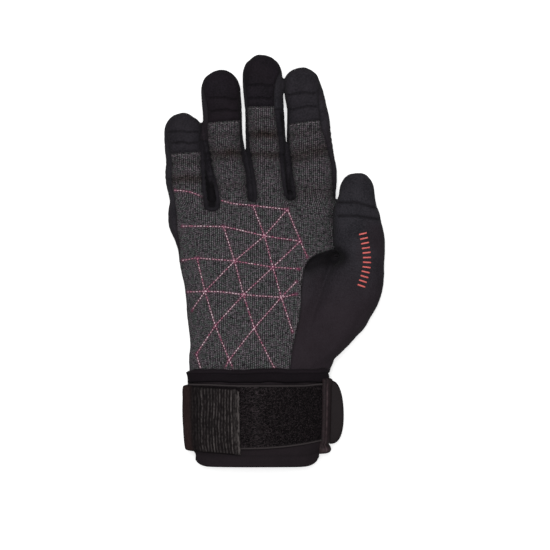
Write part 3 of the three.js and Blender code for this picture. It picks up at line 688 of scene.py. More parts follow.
def smoothPoints(points, edges, rounds):
    # Each point moves half way to the mean of its neighbours, then a little more than half way back out.
    count = len(points)
    a, b = edges.T
    degree = np.bincount(edges.ravel(), minlength=count)[:, None]
    points = points.copy()
    for turn in range(rounds):
        total = np.stack([
            np.bincount(a, points[b, k], count) + np.bincount(b, points[a, k], count) for k in range(3)
        ], -1)
        move = total / degree - points
        points += move * (0.5 if turn % 2 == 0 else -0.52)
    return points


def pointNormals(points, faces):
    # Sum of the cross products of the triangles round each point, made one long.
    triangles = splitTriangles(faces) if faces.shape[1] == 4 else faces
    a, b, c = points[triangles[:, 0]], points[triangles[:, 1]], points[triangles[:, 2]]
    flat = np.cross(b - a, c - a)
    total = np.stack([
        sum(np.bincount(corner, flat[:, k], len(points)) for corner in triangles.T) for k in range(3)
    ], -1)
    return total / np.maximum(np.linalg.norm(total, axis=1, keepdims=True), 1e-9)


# Plan outlines of the panels, in glove millimetres

def outlineDistance(points, outline):
    # Distance from each plan point to a closed outline, positive inside it, by crossing count.
    outline = np.asarray(outline, float)
    nearest = np.full(len(points), 1e9)
    inside = np.zeros(len(points), bool)
    x, y = points[:, 0], points[:, 1]
    for (x1, y1), (x2, y2) in zip(outline, np.roll(outline, -1, axis=0)):
        dx, dy = x2 - x1, y2 - y1
        share = np.clip(((x - x1) * dx + (y - y1) * dy) / max(dx * dx + dy * dy, 1e-9), 0, 1)
        nearest = np.minimum(nearest, (x - x1 - share * dx) ** 2 + (y - y1 - share * dy) ** 2)
        if y1 != y2:
            crosses = ((y1 > y) != (y2 > y)) & (x < x1 + (y - y1) * dx / dy)
            inside ^= crosses
    return np.where(inside, 1, -1) * np.sqrt(nearest)


def roundedLine(points, rounds=2):
    # Corners cut a quarter in from each end, twice, so that a coarse line runs smoothly. Ends stay.
    points = np.asarray(points, float)
    for _ in range(rounds):
        near = points[:-1] * 0.75 + points[1:] * 0.25
        far = points[:-1] * 0.25 + points[1:] * 0.75
        middle = np.stack([near, far], 1).reshape(-1, 2)
        points = np.concatenate([points[:1], middle, points[-1:]])
    return points


def palmPoint(across, along):  # shares of the palm's half width and length
    return [palmMiddle + across * palmHalf, -along * hand["palmLength"]]


seams = {
    "notch": {"little": -6.4, "ring": -0.6, "middle": 0.4},  # lowest point of the gap right of a strip
    "thumb": [(1.03, 0.281), (0.883, 0.298), (0.772, 0.316), (0.672, 0.345), (0.614, 0.398), (0.583, 0.497),
              (0.579, 0.62), (0.55, 0.72), (0.478, 0.854), (0.43, 1.06)],
    "littleSide": [(-1.3, 1.06), (-1.3, 0.38), (-0.93, 0.345), (-0.875, 0.30), (-0.905, 0.193),
                   (-0.91, 0.1)],
}
stripTable = {  # edges of each finger's knit strip, as shares of the finger's half width
    "along": [0, 6, 11.5, 17, 23, 28.5, 34, 40, 45.6, 53.6],
    "littleLeft": [-0.78, -0.82, -0.8, -0.76, -0.735, -0.78, -0.78, -0.78, -0.78, -0.78],
    "littleRight": [0.65, 0.55, 0.56, 0.59, 0.66, 0.7, 0.7, 0.7, 0.7, 0.7],
    "ringLeft": [-0.6, -0.66, -0.77, -0.9, -0.9, -0.87, -0.82, -0.77, -0.73, -0.73],
    "ringRight": [0.86, 0.84, 0.84, 0.84, 0.82, 0.83, 0.88, 0.92, 0.93, 0.93],
    "middleLeft": [-0.72, -0.73, -0.74, -0.76, -0.78, -0.82, -0.86, -0.88, -0.9, -0.88],
    "middleRight": [0.76, 0.68, 0.64, 0.62, 0.65, 0.67, 0.68, 0.63, 0.57, 0.53],
    "indexLeft": [-0.74, -0.76, -0.8, -0.85, -0.86, -0.87, -0.9, -0.92, -0.93, -0.93],
    "indexRight": [0.957, 0.906, 0.855, 0.83, 0.79, 0.765, 0.72, 0.6, 0.56, 0.56],
}


def stripEdge(name, side, y):  # centre of the finger and a share of its half width
    centre, half = fingerPlace(name, y)
    return centre + tableCurve(stripTable, name + side, y) * half


def stripSide(name, side, foot=0.0):
    # Edge of a finger's knit strip, from its foot up to the seam of its smooth cap, which is tilted.
    size = fingerSizes[name]
    share = np.linspace(0, 1, 14)
    y = foot + (size["cap"] - foot) * share
    edge = stripEdge(name, side, y)
    rise = np.tan(np.radians(size["tilt"])) * (edge - fingerPlace(name, y)[0]) * share
    return np.stack([edge, y + rise], -1)


def notchFoot(before, after):  # squared round foot of the gap between two strips
    low = seams["notch"][before]
    right, left = float(stripEdge(after, "Left", 0.0)), float(stripEdge(before, "Right", 0.0))
    half = (right - left) / 2
    deep = 0.75 * half
    angle = np.linspace(0, -np.pi, 13)
    c, s = np.cos(angle), np.sin(angle)
    x = (right + left) / 2 + half * np.sign(c) * np.abs(c) ** 0.8
    return np.stack([x, low + deep - deep * np.abs(s) ** 0.8], -1)


def knitOutline():
    # Up the thumb's seam, up and down each finger's strip with a notch between two, then down the
    # little finger's side.
    parts = [roundedLine([palmPoint(*row) for row in seams["thumb"]])[::-1]]
    start = None
    for k in range(len(fingerNames) - 1, -1, -1):
        name = fingerNames[k]
        right = stripSide(name, "Right", 0.0 if start is None else start)
        parts.append(right[(1 if start is None else 0):])
        if k == 0:
            parts.append(stripSide(name, "Left")[::-1])
            break
        foot = notchFoot(fingerNames[k - 1], name)
        start = foot[0, 1]
        parts.append(stripSide(name, "Left", start)[::-1])
        parts.append(foot[1:-1])
    parts.append(roundedLine([palmPoint(*row) for row in seams["littleSide"][::-1]], 1))
    return np.concatenate(parts)


def capOutline(name):
    # Strip edges carried on past the cap's seam, then flaring to the whole width of the tip.
    size = fingerSizes[name]
    flare = size["length"] - 9
    sides = []
    for side, sign in (("Left", -1), ("Right", 1)):
        start = stripSide(name, side)[-1]
        y = np.linspace(start[1], flare, 6)
        centre, half = fingerPlace(name, y)
        bell = np.linspace(0, 1, 6) ** 3
        carried = stripEdge(name, side, size["cap"]) - centre[0] + centre
        x = carried * (1 - bell) + (centre + sign * 0.96 * half) * bell
        sides.append(np.stack([x, y], -1))
    y = np.array([flare + 2.5, size["length"] + 1.5])
    centre, half = fingerPlace(name, y)
    right, left = np.stack([centre + 0.96 * half, y], -1), np.stack([centre - 0.96 * half, y], -1)
    return np.concatenate([sides[1], right, left[::-1], sides[0][::-1]])


def thumbOutline():  # all that lies on the thumb's side of its seam
    seam = roundedLine([palmPoint(*row) for row in seams["thumb"]])
    split = palmRight - 5
    return np.concatenate([
        [[split, 90]], [[split, seam[0, 1]]], seam, [[seam[-1, 0], -110], [160, -110], [160, 90]],
    ])


def fourchetteOutline(left, right):  # the gap between two fingers, from below its notch to past their caps
    low = seams["notch"][left] - 4
    top = min(fingerSizes[left]["cap"], fingerSizes[right]["cap"]) + 7
    y = np.linspace(low, top, 10)
    leftX, leftHalf = fingerPlace(left, y)
    rightX, rightHalf = fingerPlace(right, y)
    return np.concatenate([
        np.stack([rightX - 0.3 * rightHalf, y], -1),
        np.stack([leftX + 0.3 * leftHalf, y], -1)[::-1],
    ])


def clipMesh(points, triangles, field, extras):
    # Keeps the side where the field is positive and cuts the triangles that its zero line crosses.
    # extras are further numbers at the points, which are cut in the same way.
    sign = field > 0
    inside = sign[triangles]
    count = inside.sum(1)
    whole = triangles[count == 3]
    order = {1: lambda rows: np.argmax(rows, 1), 2: lambda rows: np.argmin(rows, 1)}
    data = np.concatenate([points, extras, field[:, None]], 1)
    newData = [data]
    total = len(points)
    parts = [whole]
    edges = []
    shapes = []
    for kind in (1, 2):
        some = triangles[count == kind]
        first = order[kind](inside[count == kind])
        rolled = np.take_along_axis(some, (first[:, None] + np.arange(3)) % 3, 1)
        edges.append(rolled[:, [0, 1]])
        edges.append(rolled[:, [0, 2]])
        shapes.append(rolled)
    allEdges = np.sort(np.concatenate(edges), 1)
    unique, back = np.unique(allEdges, axis=0, return_inverse=True)
    back = back.ravel()
    a, b = data[unique[:, 0]], data[unique[:, 1]]
    share = a[:, -1:] / (a[:, -1:] - b[:, -1:])
    newData.append(a + (b - a) * share)
    one, two = len(shapes[0]), len(shapes[1])
    ab1, ac1 = total + back[:one], total + back[one:2 * one]
    ab2, ac2 = total + back[2 * one:2 * one + two], total + back[2 * one + two:]
    parts.append(np.stack([shapes[0][:, 0], ab1, ac1], -1))
    parts.append(np.stack([ab2, shapes[1][:, 1], shapes[1][:, 2]], -1))
    parts.append(np.stack([ab2, shapes[1][:, 2], ac2], -1))
    faces = np.concatenate(parts)
    everything = np.concatenate(newData)
    used, faces = np.unique(faces, return_inverse=True)
    faces = faces.reshape(-1, 3)
    kept = everything[used]
    width = points.shape[1]
    return kept[:, :width], faces, kept[:, width:-1]


def dropCrumbs(points, triangles, extras):
    # Keeps the large joined parts: labels run along the triangles until none changes.
    label = np.arange(len(points))
    while True:
        fresh = label.copy()
        lowest = label[triangles].min(1)
        for corner in range(3):
            np.minimum.at(fresh, triangles[:, corner], lowest)
        fresh = fresh[fresh]
        if np.array_equal(fresh, label):
            break
        label = fresh
    big = np.bincount(label)[label] > hand["crumb"]
    place = np.cumsum(big) - 1
    return points[big], place[triangles[big[triangles[:, 0]]]], extras[big]


def halveTriangles(points, triangles, extras):
    # Each triangle becomes four, with new points at the middles of its edges.
    edges = np.sort(triangles[:, [0, 1, 1, 2, 2, 0]].reshape(-1, 2), 1)
    unique, back = np.unique(edges, axis=0, return_inverse=True)
    ab, bc, ca = (back.reshape(-1, 3) + len(points)).T
    a, b, c = triangles.T
    corners = ((a, ab, ca), (ab, b, bc), (ca, bc, c), (ab, bc, ca))
    fine = np.concatenate([np.stack(corner, -1) for corner in corners])
    points, extras = [np.concatenate([values, values[unique].mean(1)]) for values in (points, extras)]
    return points, fine, extras


note("fusing the hand")
handTubes = [palmGrid(), thumbGrid(), *[domedFinger(name) for name in fingerNames]]
skinPoints, skinQuads = fuseTubes(handTubes, hand["voxel"])
skinPoints = smoothPoints(skinPoints, meshEdges(skinQuads), hand["smoothing"])
skinPoints[:, 2] = (skinPoints[:, 2] + np.hypot(skinPoints[:, 2], hand["floorSoftness"])) / 2
skinTriangles = splitTriangles(skinQuads)

# Seam fields over the skin, in millimetres from each seam and positive inside the piece
plan = skinPoints[:, :2]
height = skinPoints[:, 2]
topSide = height - hand["seamHeight"]
thumbStart = palmPoint(*seams["thumb"][0])[1]  # height at which the thumb's seam meets its inner side


def sectionRatio(x, z, centreX, centreZ, half, depth):  # below 1 inside a section, 1 on it
    return ((np.abs(x - centreX) / half) ** 2.3 + (np.abs(z - centreZ) / depth) ** 2.3) ** (1 / 2.3)


def palmSection(y):
    # Middle and half width of the palm at a height, and the heights of its two faces.
    left, right, low, high = tableCurves(palmTable, np.maximum(-y, 0), "left", "right", "low", "high")
    low, high = low * hand["palmThickness"], high * hand["palmThickness"]
    return palmMiddle + (left + right) / 2 * palmHalf, (right - left) / 2 * palmHalf, low, high


def thumbLead(points):
    # Above 0 where the skin lies on the thumb, below 0 where it lies on the palm or the index finger.
    x, y, z = points.T
    place = np.interp(y, thumbTable["y"], thumbTable["along"])
    centre, half, lift, depth = tableCurves(thumbTable, place, "x", "half", "lift", "depth")
    foot = thumbTable["y"][-1]
    dome = np.sqrt(1 - np.clip((y - foot) / (thumbTip - foot), 0, 0.98) ** 2)
    thumb = sectionRatio(x, z, centre, lift, half * dome, depth * dome)
    centre, half, low, high = palmSection(y)
    palm = sectionRatio(x, z, centre, (low + high) / 2, half, (high - low) / 2) + 4 * smoothStep(0, 5, y)
    centre, half = fingerPlace("index", y)
    lift, depth = tableCurves(fingerTable, y, "lift", "depth")
    finger = sectionRatio(x, z, centre, lift, half, depth * fingerSizes["index"]["thickness"])
    finger += 4 * smoothStep(-8, -16, y)
    return (np.minimum(palm, finger) - 1) * 12 - (thumb - 1) * 10


def knitAcross(points):
    # Place across the knit, measured over the skin: where a side falls away, the fall is added.
    x, y, z = points.T
    centre, half, _, high = palmSection(y)
    share = (x - centre) / half
    palm = x + np.sign(share) * smoothStep(0.55, 0.98, np.abs(share)) * (high - z)
    best = np.full(len(x), 9.0)
    finger = x.copy()
    lift, depth = tableCurves(fingerTable, y, "lift", "depth")
    for name in fingerNames:
        centre, half = fingerPlace(name, y)
        share = (x - centre) / half
        top = lift + depth * fingerSizes[name]["thickness"]
        here = x + np.sign(share) * smoothStep(0.3, 0.95, np.abs(share)) * (top - z)
        finger = np.where(np.abs(share) < best, here, finger)
        best = np.minimum(best, np.abs(share))
    return palm + (finger - palm) * smoothStep(-4, 6, y)


lead = thumbLead(skinPoints)
knitField = np.minimum(outlineDistance(plan, knitOutline()), topSide)
knitField = np.minimum(knitField, 3 * np.maximum(thumbStart - 1.6 - plan[:, 1], 0) - lead)
capFields = {
    name: np.minimum(np.minimum(outlineDistance(plan, capOutline(name)), topSide), -knitField)
    for name in fingerNames
}
thumbField = np.minimum(outlineDistance(plan, thumbOutline()), -knitField)
thumbField = np.minimum(thumbField, 3 * np.maximum(thumbStart + 1 - plan[:, 1], 0) + lead)
webPairs = list(zip(fingerNames[:-1], fingerNames[1:]))
webFields = {}
for left, right in webPairs:
    field = np.minimum(outlineDistance(plan, fourchetteOutline(left, right)), height - 7.5)
    for other in [knitField, *capFields.values()]:
        field = np.minimum(field, -other)
    webFields[(left, right)] = field
allFields = [knitField, thumbField, *capFields.values(), *webFields.values()]
seamDistance = np.min(np.abs(np.stack(allFields)), 0)

creases = {
    "seamDepth": 0.55,
    "seamWidth": 1.2,
    "tuckDepth": 0.95,
    "tuckWidth": 0.5,
    "puff": 0.45,
    "lumps": 0.33,
    "ripple": 0.11,
    "foldDepth": 2.6,
    "notchDepth": 1.7,
    "notchRim": 0.5,
    "seamShade": 0.55,  # how much each of these creases darkens the cloth, as painted shade
    "tuckShade": 0.8,
    "foldShadow": 0.9,
    "notchShade": 0.9,
    "wrinkleShade": 0.34,
    "capTuckShade": 0.55,
}
tuckPlaces = {  # heights and tilts of the sewn tucks on each cap
    "little": [(32.6, 1), (39.0, 0)],
    "ring": [(51.0, 1), (58.2, -3)],
    "middle": [(58.0, 0), (65.4, 0)],
    "index": [(53.0, 6), (60.8, 3)],
}
bendTable = {  # worn bends of the knit: height, tilt, spread, pitch of the wrinkles, depth, and browning with painted fold shade
    "little": [(12.2, 2, 3.4, 3.6, 0.75, 0.9), (21.5, 3, 2.4, 3.4, 0.35, 0.3)],
    "ring": [(26.5, 2, 4.6, 4.2, 0.8, 0.9), (36.5, 4, 2.6, 3.8, 0.3, 0.25), (8, 0, 3.0, 4.0, 0.35, 0.3)],
    "middle": [(37.5, 1, 4.2, 4.6, 0.85, 1.0), (25.8, 0, 3.2, 4.0, 0.75, 0.85),
               (46, -2, 2.4, 3.6, 0.3, 0.2)],
    "index": [(27.0, 12, 5.6, 3.4, 0.75, 0.8), (38.5, 7, 3.0, 3.4, 0.35, 0.3), (5, 3, 6.5, 3.2, 0.45, 0.35)],
}
thumbTucks = [((49.2, -1.4), (60.0, -1.6), (70.5, -4.4)), ((49.2, -9.2), (60.0, -9.2), (72.5, -11.0))]
crotchFold = [(32.6, -36.6), (39.5, -34.0), (49.5, -32.6)]


def lineDistance(points, start, end):  # distance from plan points to a straight stretch
    start = np.asarray(start, float)
    way = np.asarray(end, float) - start
    share = np.clip(((points - start) @ way) / (way @ way), 0, 1)
    return np.linalg.norm(points - start - share[:, None] * way, axis=1)


def pathDistance(points, path):
    return np.min([lineDistance(points, start, end) for start, end in zip(path[:-1], path[1:])], axis=0)


def alongFinger(name, points, tilt):
    # Height of plan points up a finger, from a line tilted across it that wavers a little; and
    # how nearly they are on that finger.
    centre, half = fingerPlace(name, points[:, 1])
    across = (points[:, 0] - centre) / half
    waver = 0.28 * np.sin(across * 5.3 + len(name)) + 0.16 * np.sin(across * 11 + 2 * len(name))
    along = points[:, 1] - math.tan(math.radians(tilt)) * across * half + waver
    return along, smoothStep(1.12, 0.98, np.abs(across))


onTop = smoothStep(9.0, 14.0, height)
seamAmount = bellCurve(seamDistance, creases["seamWidth"])
bendWearAndShade = np.zeros(len(plan))
wrinkles = np.zeros(len(plan))
wrinkleShade = np.zeros(len(plan))
for name, rows in bendTable.items():
    for y, tilt, spread, pitch, depth, tone in rows:
        along, on = alongFinger(name, plan, tilt)
        near = bellCurve(along - y, spread) * on * onTop
        valley = 0.5 + 0.5 * np.cos((along - y) / pitch * 2 * math.pi)
        wrinkles += near * depth * valley
        # painted shade in the wrinkles' valleys
        wrinkleShade = np.maximum(wrinkleShade, near * valley**1.5 * min(1.1 * depth, 0.8))
        # worn browning with painted fold shade along each bend
        bendWearAndShade = np.maximum(bendWearAndShade, tone * bellCurve(along - y, 0.75 * spread) * on * onTop)
bendWearAndShade *= 0.85 + 0.15 * waveNoise(skinPoints, 9.0, 13)
thumbTuck = np.zeros(len(plan))
for path in thumbTucks:
    thumbTuck = np.maximum(thumbTuck, bellCurve(pathDistance(plan, path), 0.7))
thumbTuck *= onTop * smoothStep(0.0, 2.0, thumbField)
fold = pathDistance(plan, crotchFold)
foldAmount = bellCurve(fold, 3.2) * smoothStep(-0.5, 2.0, thumbField) * onTop
# painted shadow of the fold at the thumb's crotch
foldShadow = bellCurve(np.maximum(fold - 1.5, 0), 5.0) * smoothStep(-0.3, 0.6, thumbField) * onTop
notch = np.max(np.stack(list(webFields.values())), 0)
notchLow = smoothStep(22.0, 12.0, plan[:, 1])
slit = np.zeros(len(plan))
for left, right in webPairs:
    centre, half = fingerPlace(left, plan[:, 1])
    other, otherHalf = fingerPlace(right, plan[:, 1])
    middle = (centre + half + other - otherHalf) / 2
    inSlit = smoothStep(5.0, 2.5, np.abs(plan[:, 0] - middle)) * smoothStep(20.0, 28.0, plan[:, 1])
    slit = np.maximum(slit, inSlit)

normals = pointNormals(skinPoints, skinQuads)
lumps = waveNoise(skinPoints, 19.0, 4) * creases["lumps"]
lumps += waveNoise(skinPoints * np.array([1.0, 0.6, 1.0]), 6.5, 9) * creases["ripple"]
move = lumps * (1 - 0.8 * slit)
move -= creases["seamDepth"] * seamAmount * (1 - 0.6 * slit)
move -= creases["tuckDepth"] * thumbTuck
move -= wrinkles
move -= creases["foldDepth"] * foldAmount
move += notchLow * creases["notchRim"] * bellCurve(notch - 1.1, 0.8)
move -= notchLow * creases["notchDepth"] * smoothStep(1.6, 3.4, notch)
move *= smoothStep(0.2, 3.0, height) * 0.85 + 0.15
skinPoints = skinPoints + normals * move[:, None]
# Painted shade in the colour: seams, tucks, the crotch fold, the notches' deep cores and the wrinkles'
# valleys are darkened.
paintedCreaseShade = creases["seamShade"] * bellCurve(seamDistance, 0.7)
paintedCreaseShade += creases["tuckShade"] * thumbTuck + creases["foldShadow"] * foldShadow
paintedCreaseShade += creases["notchShade"] * smoothStep(1.9, 3.2, notch) + creases["wrinkleShade"] * wrinkleShade
paintedCreaseShade = np.clip(paintedCreaseShade, 0, 1)
note(f"skin of {len(skinTriangles)} triangles")

# Pink quilting on the knit palm: lines between named nodes of a triangle lattice

stitching = {
    "pitch": 1.72,
    "dash": 1.3,
    "width": 0.5,
    "thick": 0.34,
    "sink": 0.03,
    "pucker": 0.32,
    "nodes": {
        "a0": (172.5, 190), "a01": (188, 191.5), "a02": (201, 196.5), "a03": (220, 200.4),
        "a04": (232, 203.6), "a1": (252, 205.5), "a2": (286.5, 209.5),
        "b0": (181, 226), "b1": (222.7, 226.6), "b11": (243, 231), "b2": (263.5, 236),
        "b3": (299.4, 241.2), "b9": (306.5, 257.5),
        "c0": (181, 260.4), "c1": (196, 258), "c2": (233.6, 261), "c3": (272, 267.2), "c4": (298.5, 269),
        "d0": (185.6, 292), "d1": (204, 291.4), "d11": (221, 291.8), "d2": (242.6, 294.7),
        "d3": (280.3, 297.3), "d4": (295.5, 294), "d5": (295.5, 281.5),
        "e0": (190.5, 311), "e1": (214.4, 325.5), "e2": (253.3, 328), "e3": (291.7, 332),
        "f1": (195.5, 354), "f11": (199.5, 368), "f2": (228.4, 359.5), "f21": (224, 368),
        "f22": (232, 368), "f3": (273.5, 368),
    },
    "lines": [
        ["a0", "a01", "a02"], ["a03", "a04", "a1", "a2"], ["b0", "b1", "b11", "b2", "b3"],
        ["c0", "c1", "c2", "c3", "c4"], ["d0", "d1", "d11", "d2", "d3", "d4"],
        ["a1", "b2", "c3", "d3", "e3"], ["b1", "c2", "d2", "e2", "f3"], ["c1", "d1", "e1", "f2", "f22"],
        ["a2", "b2", "c2", "d1", "e0"], ["b3", "c3", "d2", "e1", "f1", "f11"],
        ["d5", "d3", "e2", "f2", "f21"], ["a2", "b3", "b9"],
    ],
}
photoScale = 0.57  # millimetres a pixel
photoCentre = (250.5, 200.0)


def fromPixel(spot):
    return [(spot[0] - photoCentre[0]) * photoScale, (photoCentre[1] - spot[1]) * photoScale]


stitchLines = [np.array([fromPixel(stitching["nodes"][key]) for key in line]) for line in stitching["lines"]]
threadNear = np.full(len(plan), 1e9)
for line in stitchLines:
    for start, end in zip(line[:-1], line[1:]):
        threadNear = np.minimum(threadNear, lineDistance(plan, start, end))
isKnit = smoothStep(0.0, 1.0, knitField)
skinPoints -= normals * (stitching["pucker"] * bellCurve(threadNear, 1.1) * isKnit)[:, None]
crossing = np.zeros(len(plan))
for key, spot in stitching["nodes"].items():
    if len(key) == 2:  # the nodes where lines cross or end
        gap = np.linalg.norm(plan - np.array(fromPixel(spot)), axis=1)
        crossing = np.maximum(crossing, bellCurve(gap, 1.5))
threadTone = 0.5 * bellCurve(threadNear, 0.65) + 0.9 * crossing * bellCurve(threadNear, 1.0)
threadTone = np.clip(threadTone, 0, 1) * isKnit

materials = {
    "neoprene": smoothClothMaterial("neoprene", srgb(25, 24, 28), srgb(48, 46, 51), pitch=1500.0,
                                    warm=srgb(38, 29, 34)),
    "paleTip": smoothClothMaterial("fingertipSuede", srgb(25, 23, 27), srgb(44, 41, 46), pitch=1100.0),
    # The ring and middle caps take a darker copy of the same suede: painted shade, with the reddish tint
    # those caps have.
    "shadedTip": smoothClothMaterial("shadedSuede", srgb(15, 12, 16), srgb(30, 25, 31), pitch=1100.0,
                                   warm=srgb(27, 20, 25)),
    "web": smoothClothMaterial("fourchetteCloth", srgb(20, 18, 22), srgb(38, 35, 40), pitch=1500.0),
    "cuff": smoothClothMaterial("cuffNeoprene", srgb(19, 15, 18), srgb(37, 30, 34), pitch=1300.0),
    "knit": knitMaterial(),
    "rim": smoothClothMaterial("rimNeoprene", srgb(17, 14, 16), srgb(34, 28, 33), pitch=1300.0,
                               specular=0.045),
    "elastic": elasticMaterial(),
    "loopBase": loopBaseMaterial(),
    "pile": pileMaterial(),
    "keeper": keeperMaterial(),
    "tab": smoothClothMaterial("tabRubber", srgb(20, 16, 17), srgb(29, 24, 26), pitch=900.0, roughness=0.6,
                               warm=srgb(29, 22, 24)),
    "pinkThread": threadMaterial("pinkThread", srgb(172, 94, 122), srgb(238, 216, 222)),
    "greyThread": threadMaterial("greyThread", srgb(70, 64, 67), srgb(142, 134, 138)),
    "ink": inkMaterial(),
}
tones = {"creaseShade": paintedCreaseShade, "thread": threadTone, "bendWearShade": bendWearAndShade, "across": knitAcross(skinPoints) * mm}


def capDetail(name):
    # Sewn tucks across a cap and the padding that swells between them, as a depth and as painted shade in
    # the tucks.
    def shape(points, field):
        plan = points[:, :2]
        inner = smoothStep(0.0, 1.4, field)
        depth = np.zeros(len(plan))
        tone = np.zeros(len(plan))
        rows = [(fingerSizes[name]["cap"], fingerSizes[name]["tilt"]), *tuckPlaces[name]]
        for (y1, tilt1), (y2, tilt2) in zip(rows[:-1], rows[1:]):
            low, on = alongFinger(name, plan, tilt1)
            high, on = alongFinger(name, plan, tilt2)
            share = np.clip((low - y1) / np.maximum(low - y1 + y2 - high, 0.1), 0, 1)
            depth -= creases["puff"] * np.sin(np.pi * share) ** 1.4 * on
            near = bellCurve(high - y2, creases["tuckWidth"]) * on
            gather = 0.85 + 0.15 * np.sin(plan[:, 0] * 2.9 + y2)
            depth += creases["tuckDepth"] * near * gather
            tone = np.maximum(tone, creases["capTuckShade"] * near * gather)
        depth -= 0.5 * creases["puff"] * bellCurve(high - y2 - 3.0, 2.0) * on
        return depth * inner, tone * inner
    return shape


def cutPanel(name, field, slot, material, *nodes, detail=None):
    # Panel of the skin where the field is positive, thickened inwards to a wall.
    points, triangles = skinPoints, skinTriangles
    wristCut = skinPoints[:, 1] - wristLine - 0.1
    extras = np.stack([*tones.values(), field, wristCut], -1)
    for column in (len(tones), len(tones) + 1):
        points, triangles, extras = clipMesh(points, triangles, extras[:, column], extras)
    points, triangles, extras = dropCrumbs(points, triangles, extras)
    if detail:
        points, triangles, extras = halveTriangles(points, triangles, extras)
        depth, tone = detail(points, extras[:, len(tones)])
        points = points - pointNormals(points, triangles) * depth[:, None]
        extras[:, 0] = np.maximum(extras[:, 0], tone)  # the first of the tones is the painted shade of the creases
    piece = meshFrom(name, points, triangles)
    for column, label in enumerate(tones):
        addValues(piece, label, extras[:, column])
    wall = piece.modifiers.new("wall", "SOLIDIFY")
    wall.thickness = hand["wall"] * mm
    wall.offset = -1
    wall.use_rim = True
    note(f"{name}, {2 * len(triangles)} triangles")
    return finishPiece(piece, slot, material, *nodes)


note("cutting the panels")
cutPanel("palmKnit", knitField, "palm_knit", materials["knit"], "palm_panel")
cutPanel("thumbPanel", thumbField, "neoprene", materials["neoprene"], "thumb_panel")
for name in fingerNames:
    # ring and middle caps get the copy darkened with painted shade
    suede = materials["shadedTip" if name in ("ring", "middle") else "paleTip"]
    cutPanel(name + "Cap", capFields[name], "fingertip", suede, "fingertip_" + name, detail=capDetail(name))
for left, right in webPairs:
    node = f"fourchette_{left}_{right}"
    cutPanel(left + "Web", webFields[(left, right)], "fourchette", materials["web"], node)
backField = np.min(np.stack([-field for field in allFields]), 0)
cutPanel("backPanel", backField, "neoprene", materials["neoprene"], "back_panel")

# Cuff, rim and strap: sections of a superellipse round the wrist

cuff = {
    "length": 54.4,
    "thickness": 22.4,
    "layer": 2.7,  # strap on the back, on which the cuff lies
    "power": 2.7,
    "wristSides": (-0.708, 0.94),
    "wall": 2.2,
    "rimTop": 1.7,  # the rolled edge laps this far over the hand
    "rimFoot": 6.3,
    "rimBulge": 1.8,
    "rimPeak": 4.3,  # how far the folded corner stands out at the little-finger side
    "hemCorner": 3.0,  # how much shorter the hem is at its two corners
    "hemCornerThumb": 1.8,  # and by how much more on the thumb's side
}
cuffTable = {  # sides as shares of the wrist's half width, and how far the hem tucks in below the strap
    "along": [-0.1, 0, 0.06, 0.13, 0.3, 0.6, 0.8, 0.86, 0.94, 1],
    "left": [-0.99, -0.99, -1.02, -1.08, -1.095, -1.085, -1.065, -1.05, -1.04, -1.03],
    "right": [0.93, 0.93, 0.93, 0.93, 0.93, 0.92, 0.905, 0.9, 0.89, 0.88],
    "thick": [0.97, 0.97, 0.98, 1, 1, 1, 1, 0.98, 0.96, 0.95],
    "tuckLeft": [0, 0, 0, 0, 0, 0, 0.4, 2.6, 2.6, 2.4],
    "tuckRight": [0, 0, 0, 0, 0, 0, 0.4, 2.4, 2.4, 2.2],
}
wristLeft, wristRight = [palmMiddle + side * palmHalf for side in cuff["wristSides"]]
wristMiddle = (wristLeft + wristRight) / 2
wristHalf = (wristRight - wristLeft) / 2
cuffCentre = cuff["layer"] + cuff["thickness"] / 2


def cuffPoints(angle, drop, offset, tuck=0.0):
    # A point of the cuff's section at an angle round it, a drop below the wrist seam and a distance
    # out from its face, along the section's own normal. tuck 1 follows the narrower hem.
    angle, drop, offset = np.broadcast_arrays(angle, drop, offset)
    share = drop / cuff["length"]
    left, right, thick = tableCurves(cuffTable, share, "left", "right", "thick")
    tuckLeft, tuckRight = tableCurves(cuffTable, share, "tuckLeft", "tuckRight")
    left = wristMiddle + left * wristHalf + tuck * tuckLeft
    right = wristMiddle + right * wristHalf - tuck * tuckRight
    half = (right - left) / 2
    up = thick * cuff["thickness"] / 2
    c, s = np.cos(angle), np.sin(angle)
    across = np.sign(c) * np.abs(c) ** (2 / cuff["power"])
    height = np.sign(s) * np.abs(s) ** (2 / cuff["power"])
    nx = np.sign(c) * np.abs(c) ** (2 - 2 / cuff["power"]) / half
    nz = np.sign(s) * np.abs(s) ** (2 - 2 / cuff["power"]) / up
    size = np.hypot(nx, nz)
    x = (left + right) / 2 + half * across + offset * nx / size
    z = cuffCentre + up * height + offset * nz / size
    return np.stack([x, wristLine - drop, z], -1)


def cuffAngle(x):  # angle on the palm side over a place across
    left, right = [wristMiddle + side * wristHalf for side in tableCurves(cuffTable, 0.5, "left", "right")]
    across = np.clip((np.asarray(x, float) - (left + right) / 2) / ((right - left) / 2), -1, 1)
    return np.arccos(np.sign(across) * np.abs(across) ** (cuff["power"] / 2))


strapLevel = 25.0  # drop at which places round the strap are measured


def evenAngles(start, end, step):
    # Angles from one to another whose points lie even steps apart round the cuff.
    fine = np.linspace(start, end, 3000)
    ring = cuffPoints(fine, strapLevel, 0.0)
    path = np.concatenate([[0], np.cumsum(np.linalg.norm(np.diff(ring, axis=0), axis=1))])
    count = max(int(round(path[-1] / step)), 4)
    arc = np.linspace(0, path[-1], count + 1)
    return np.interp(arc, path, fine), arc


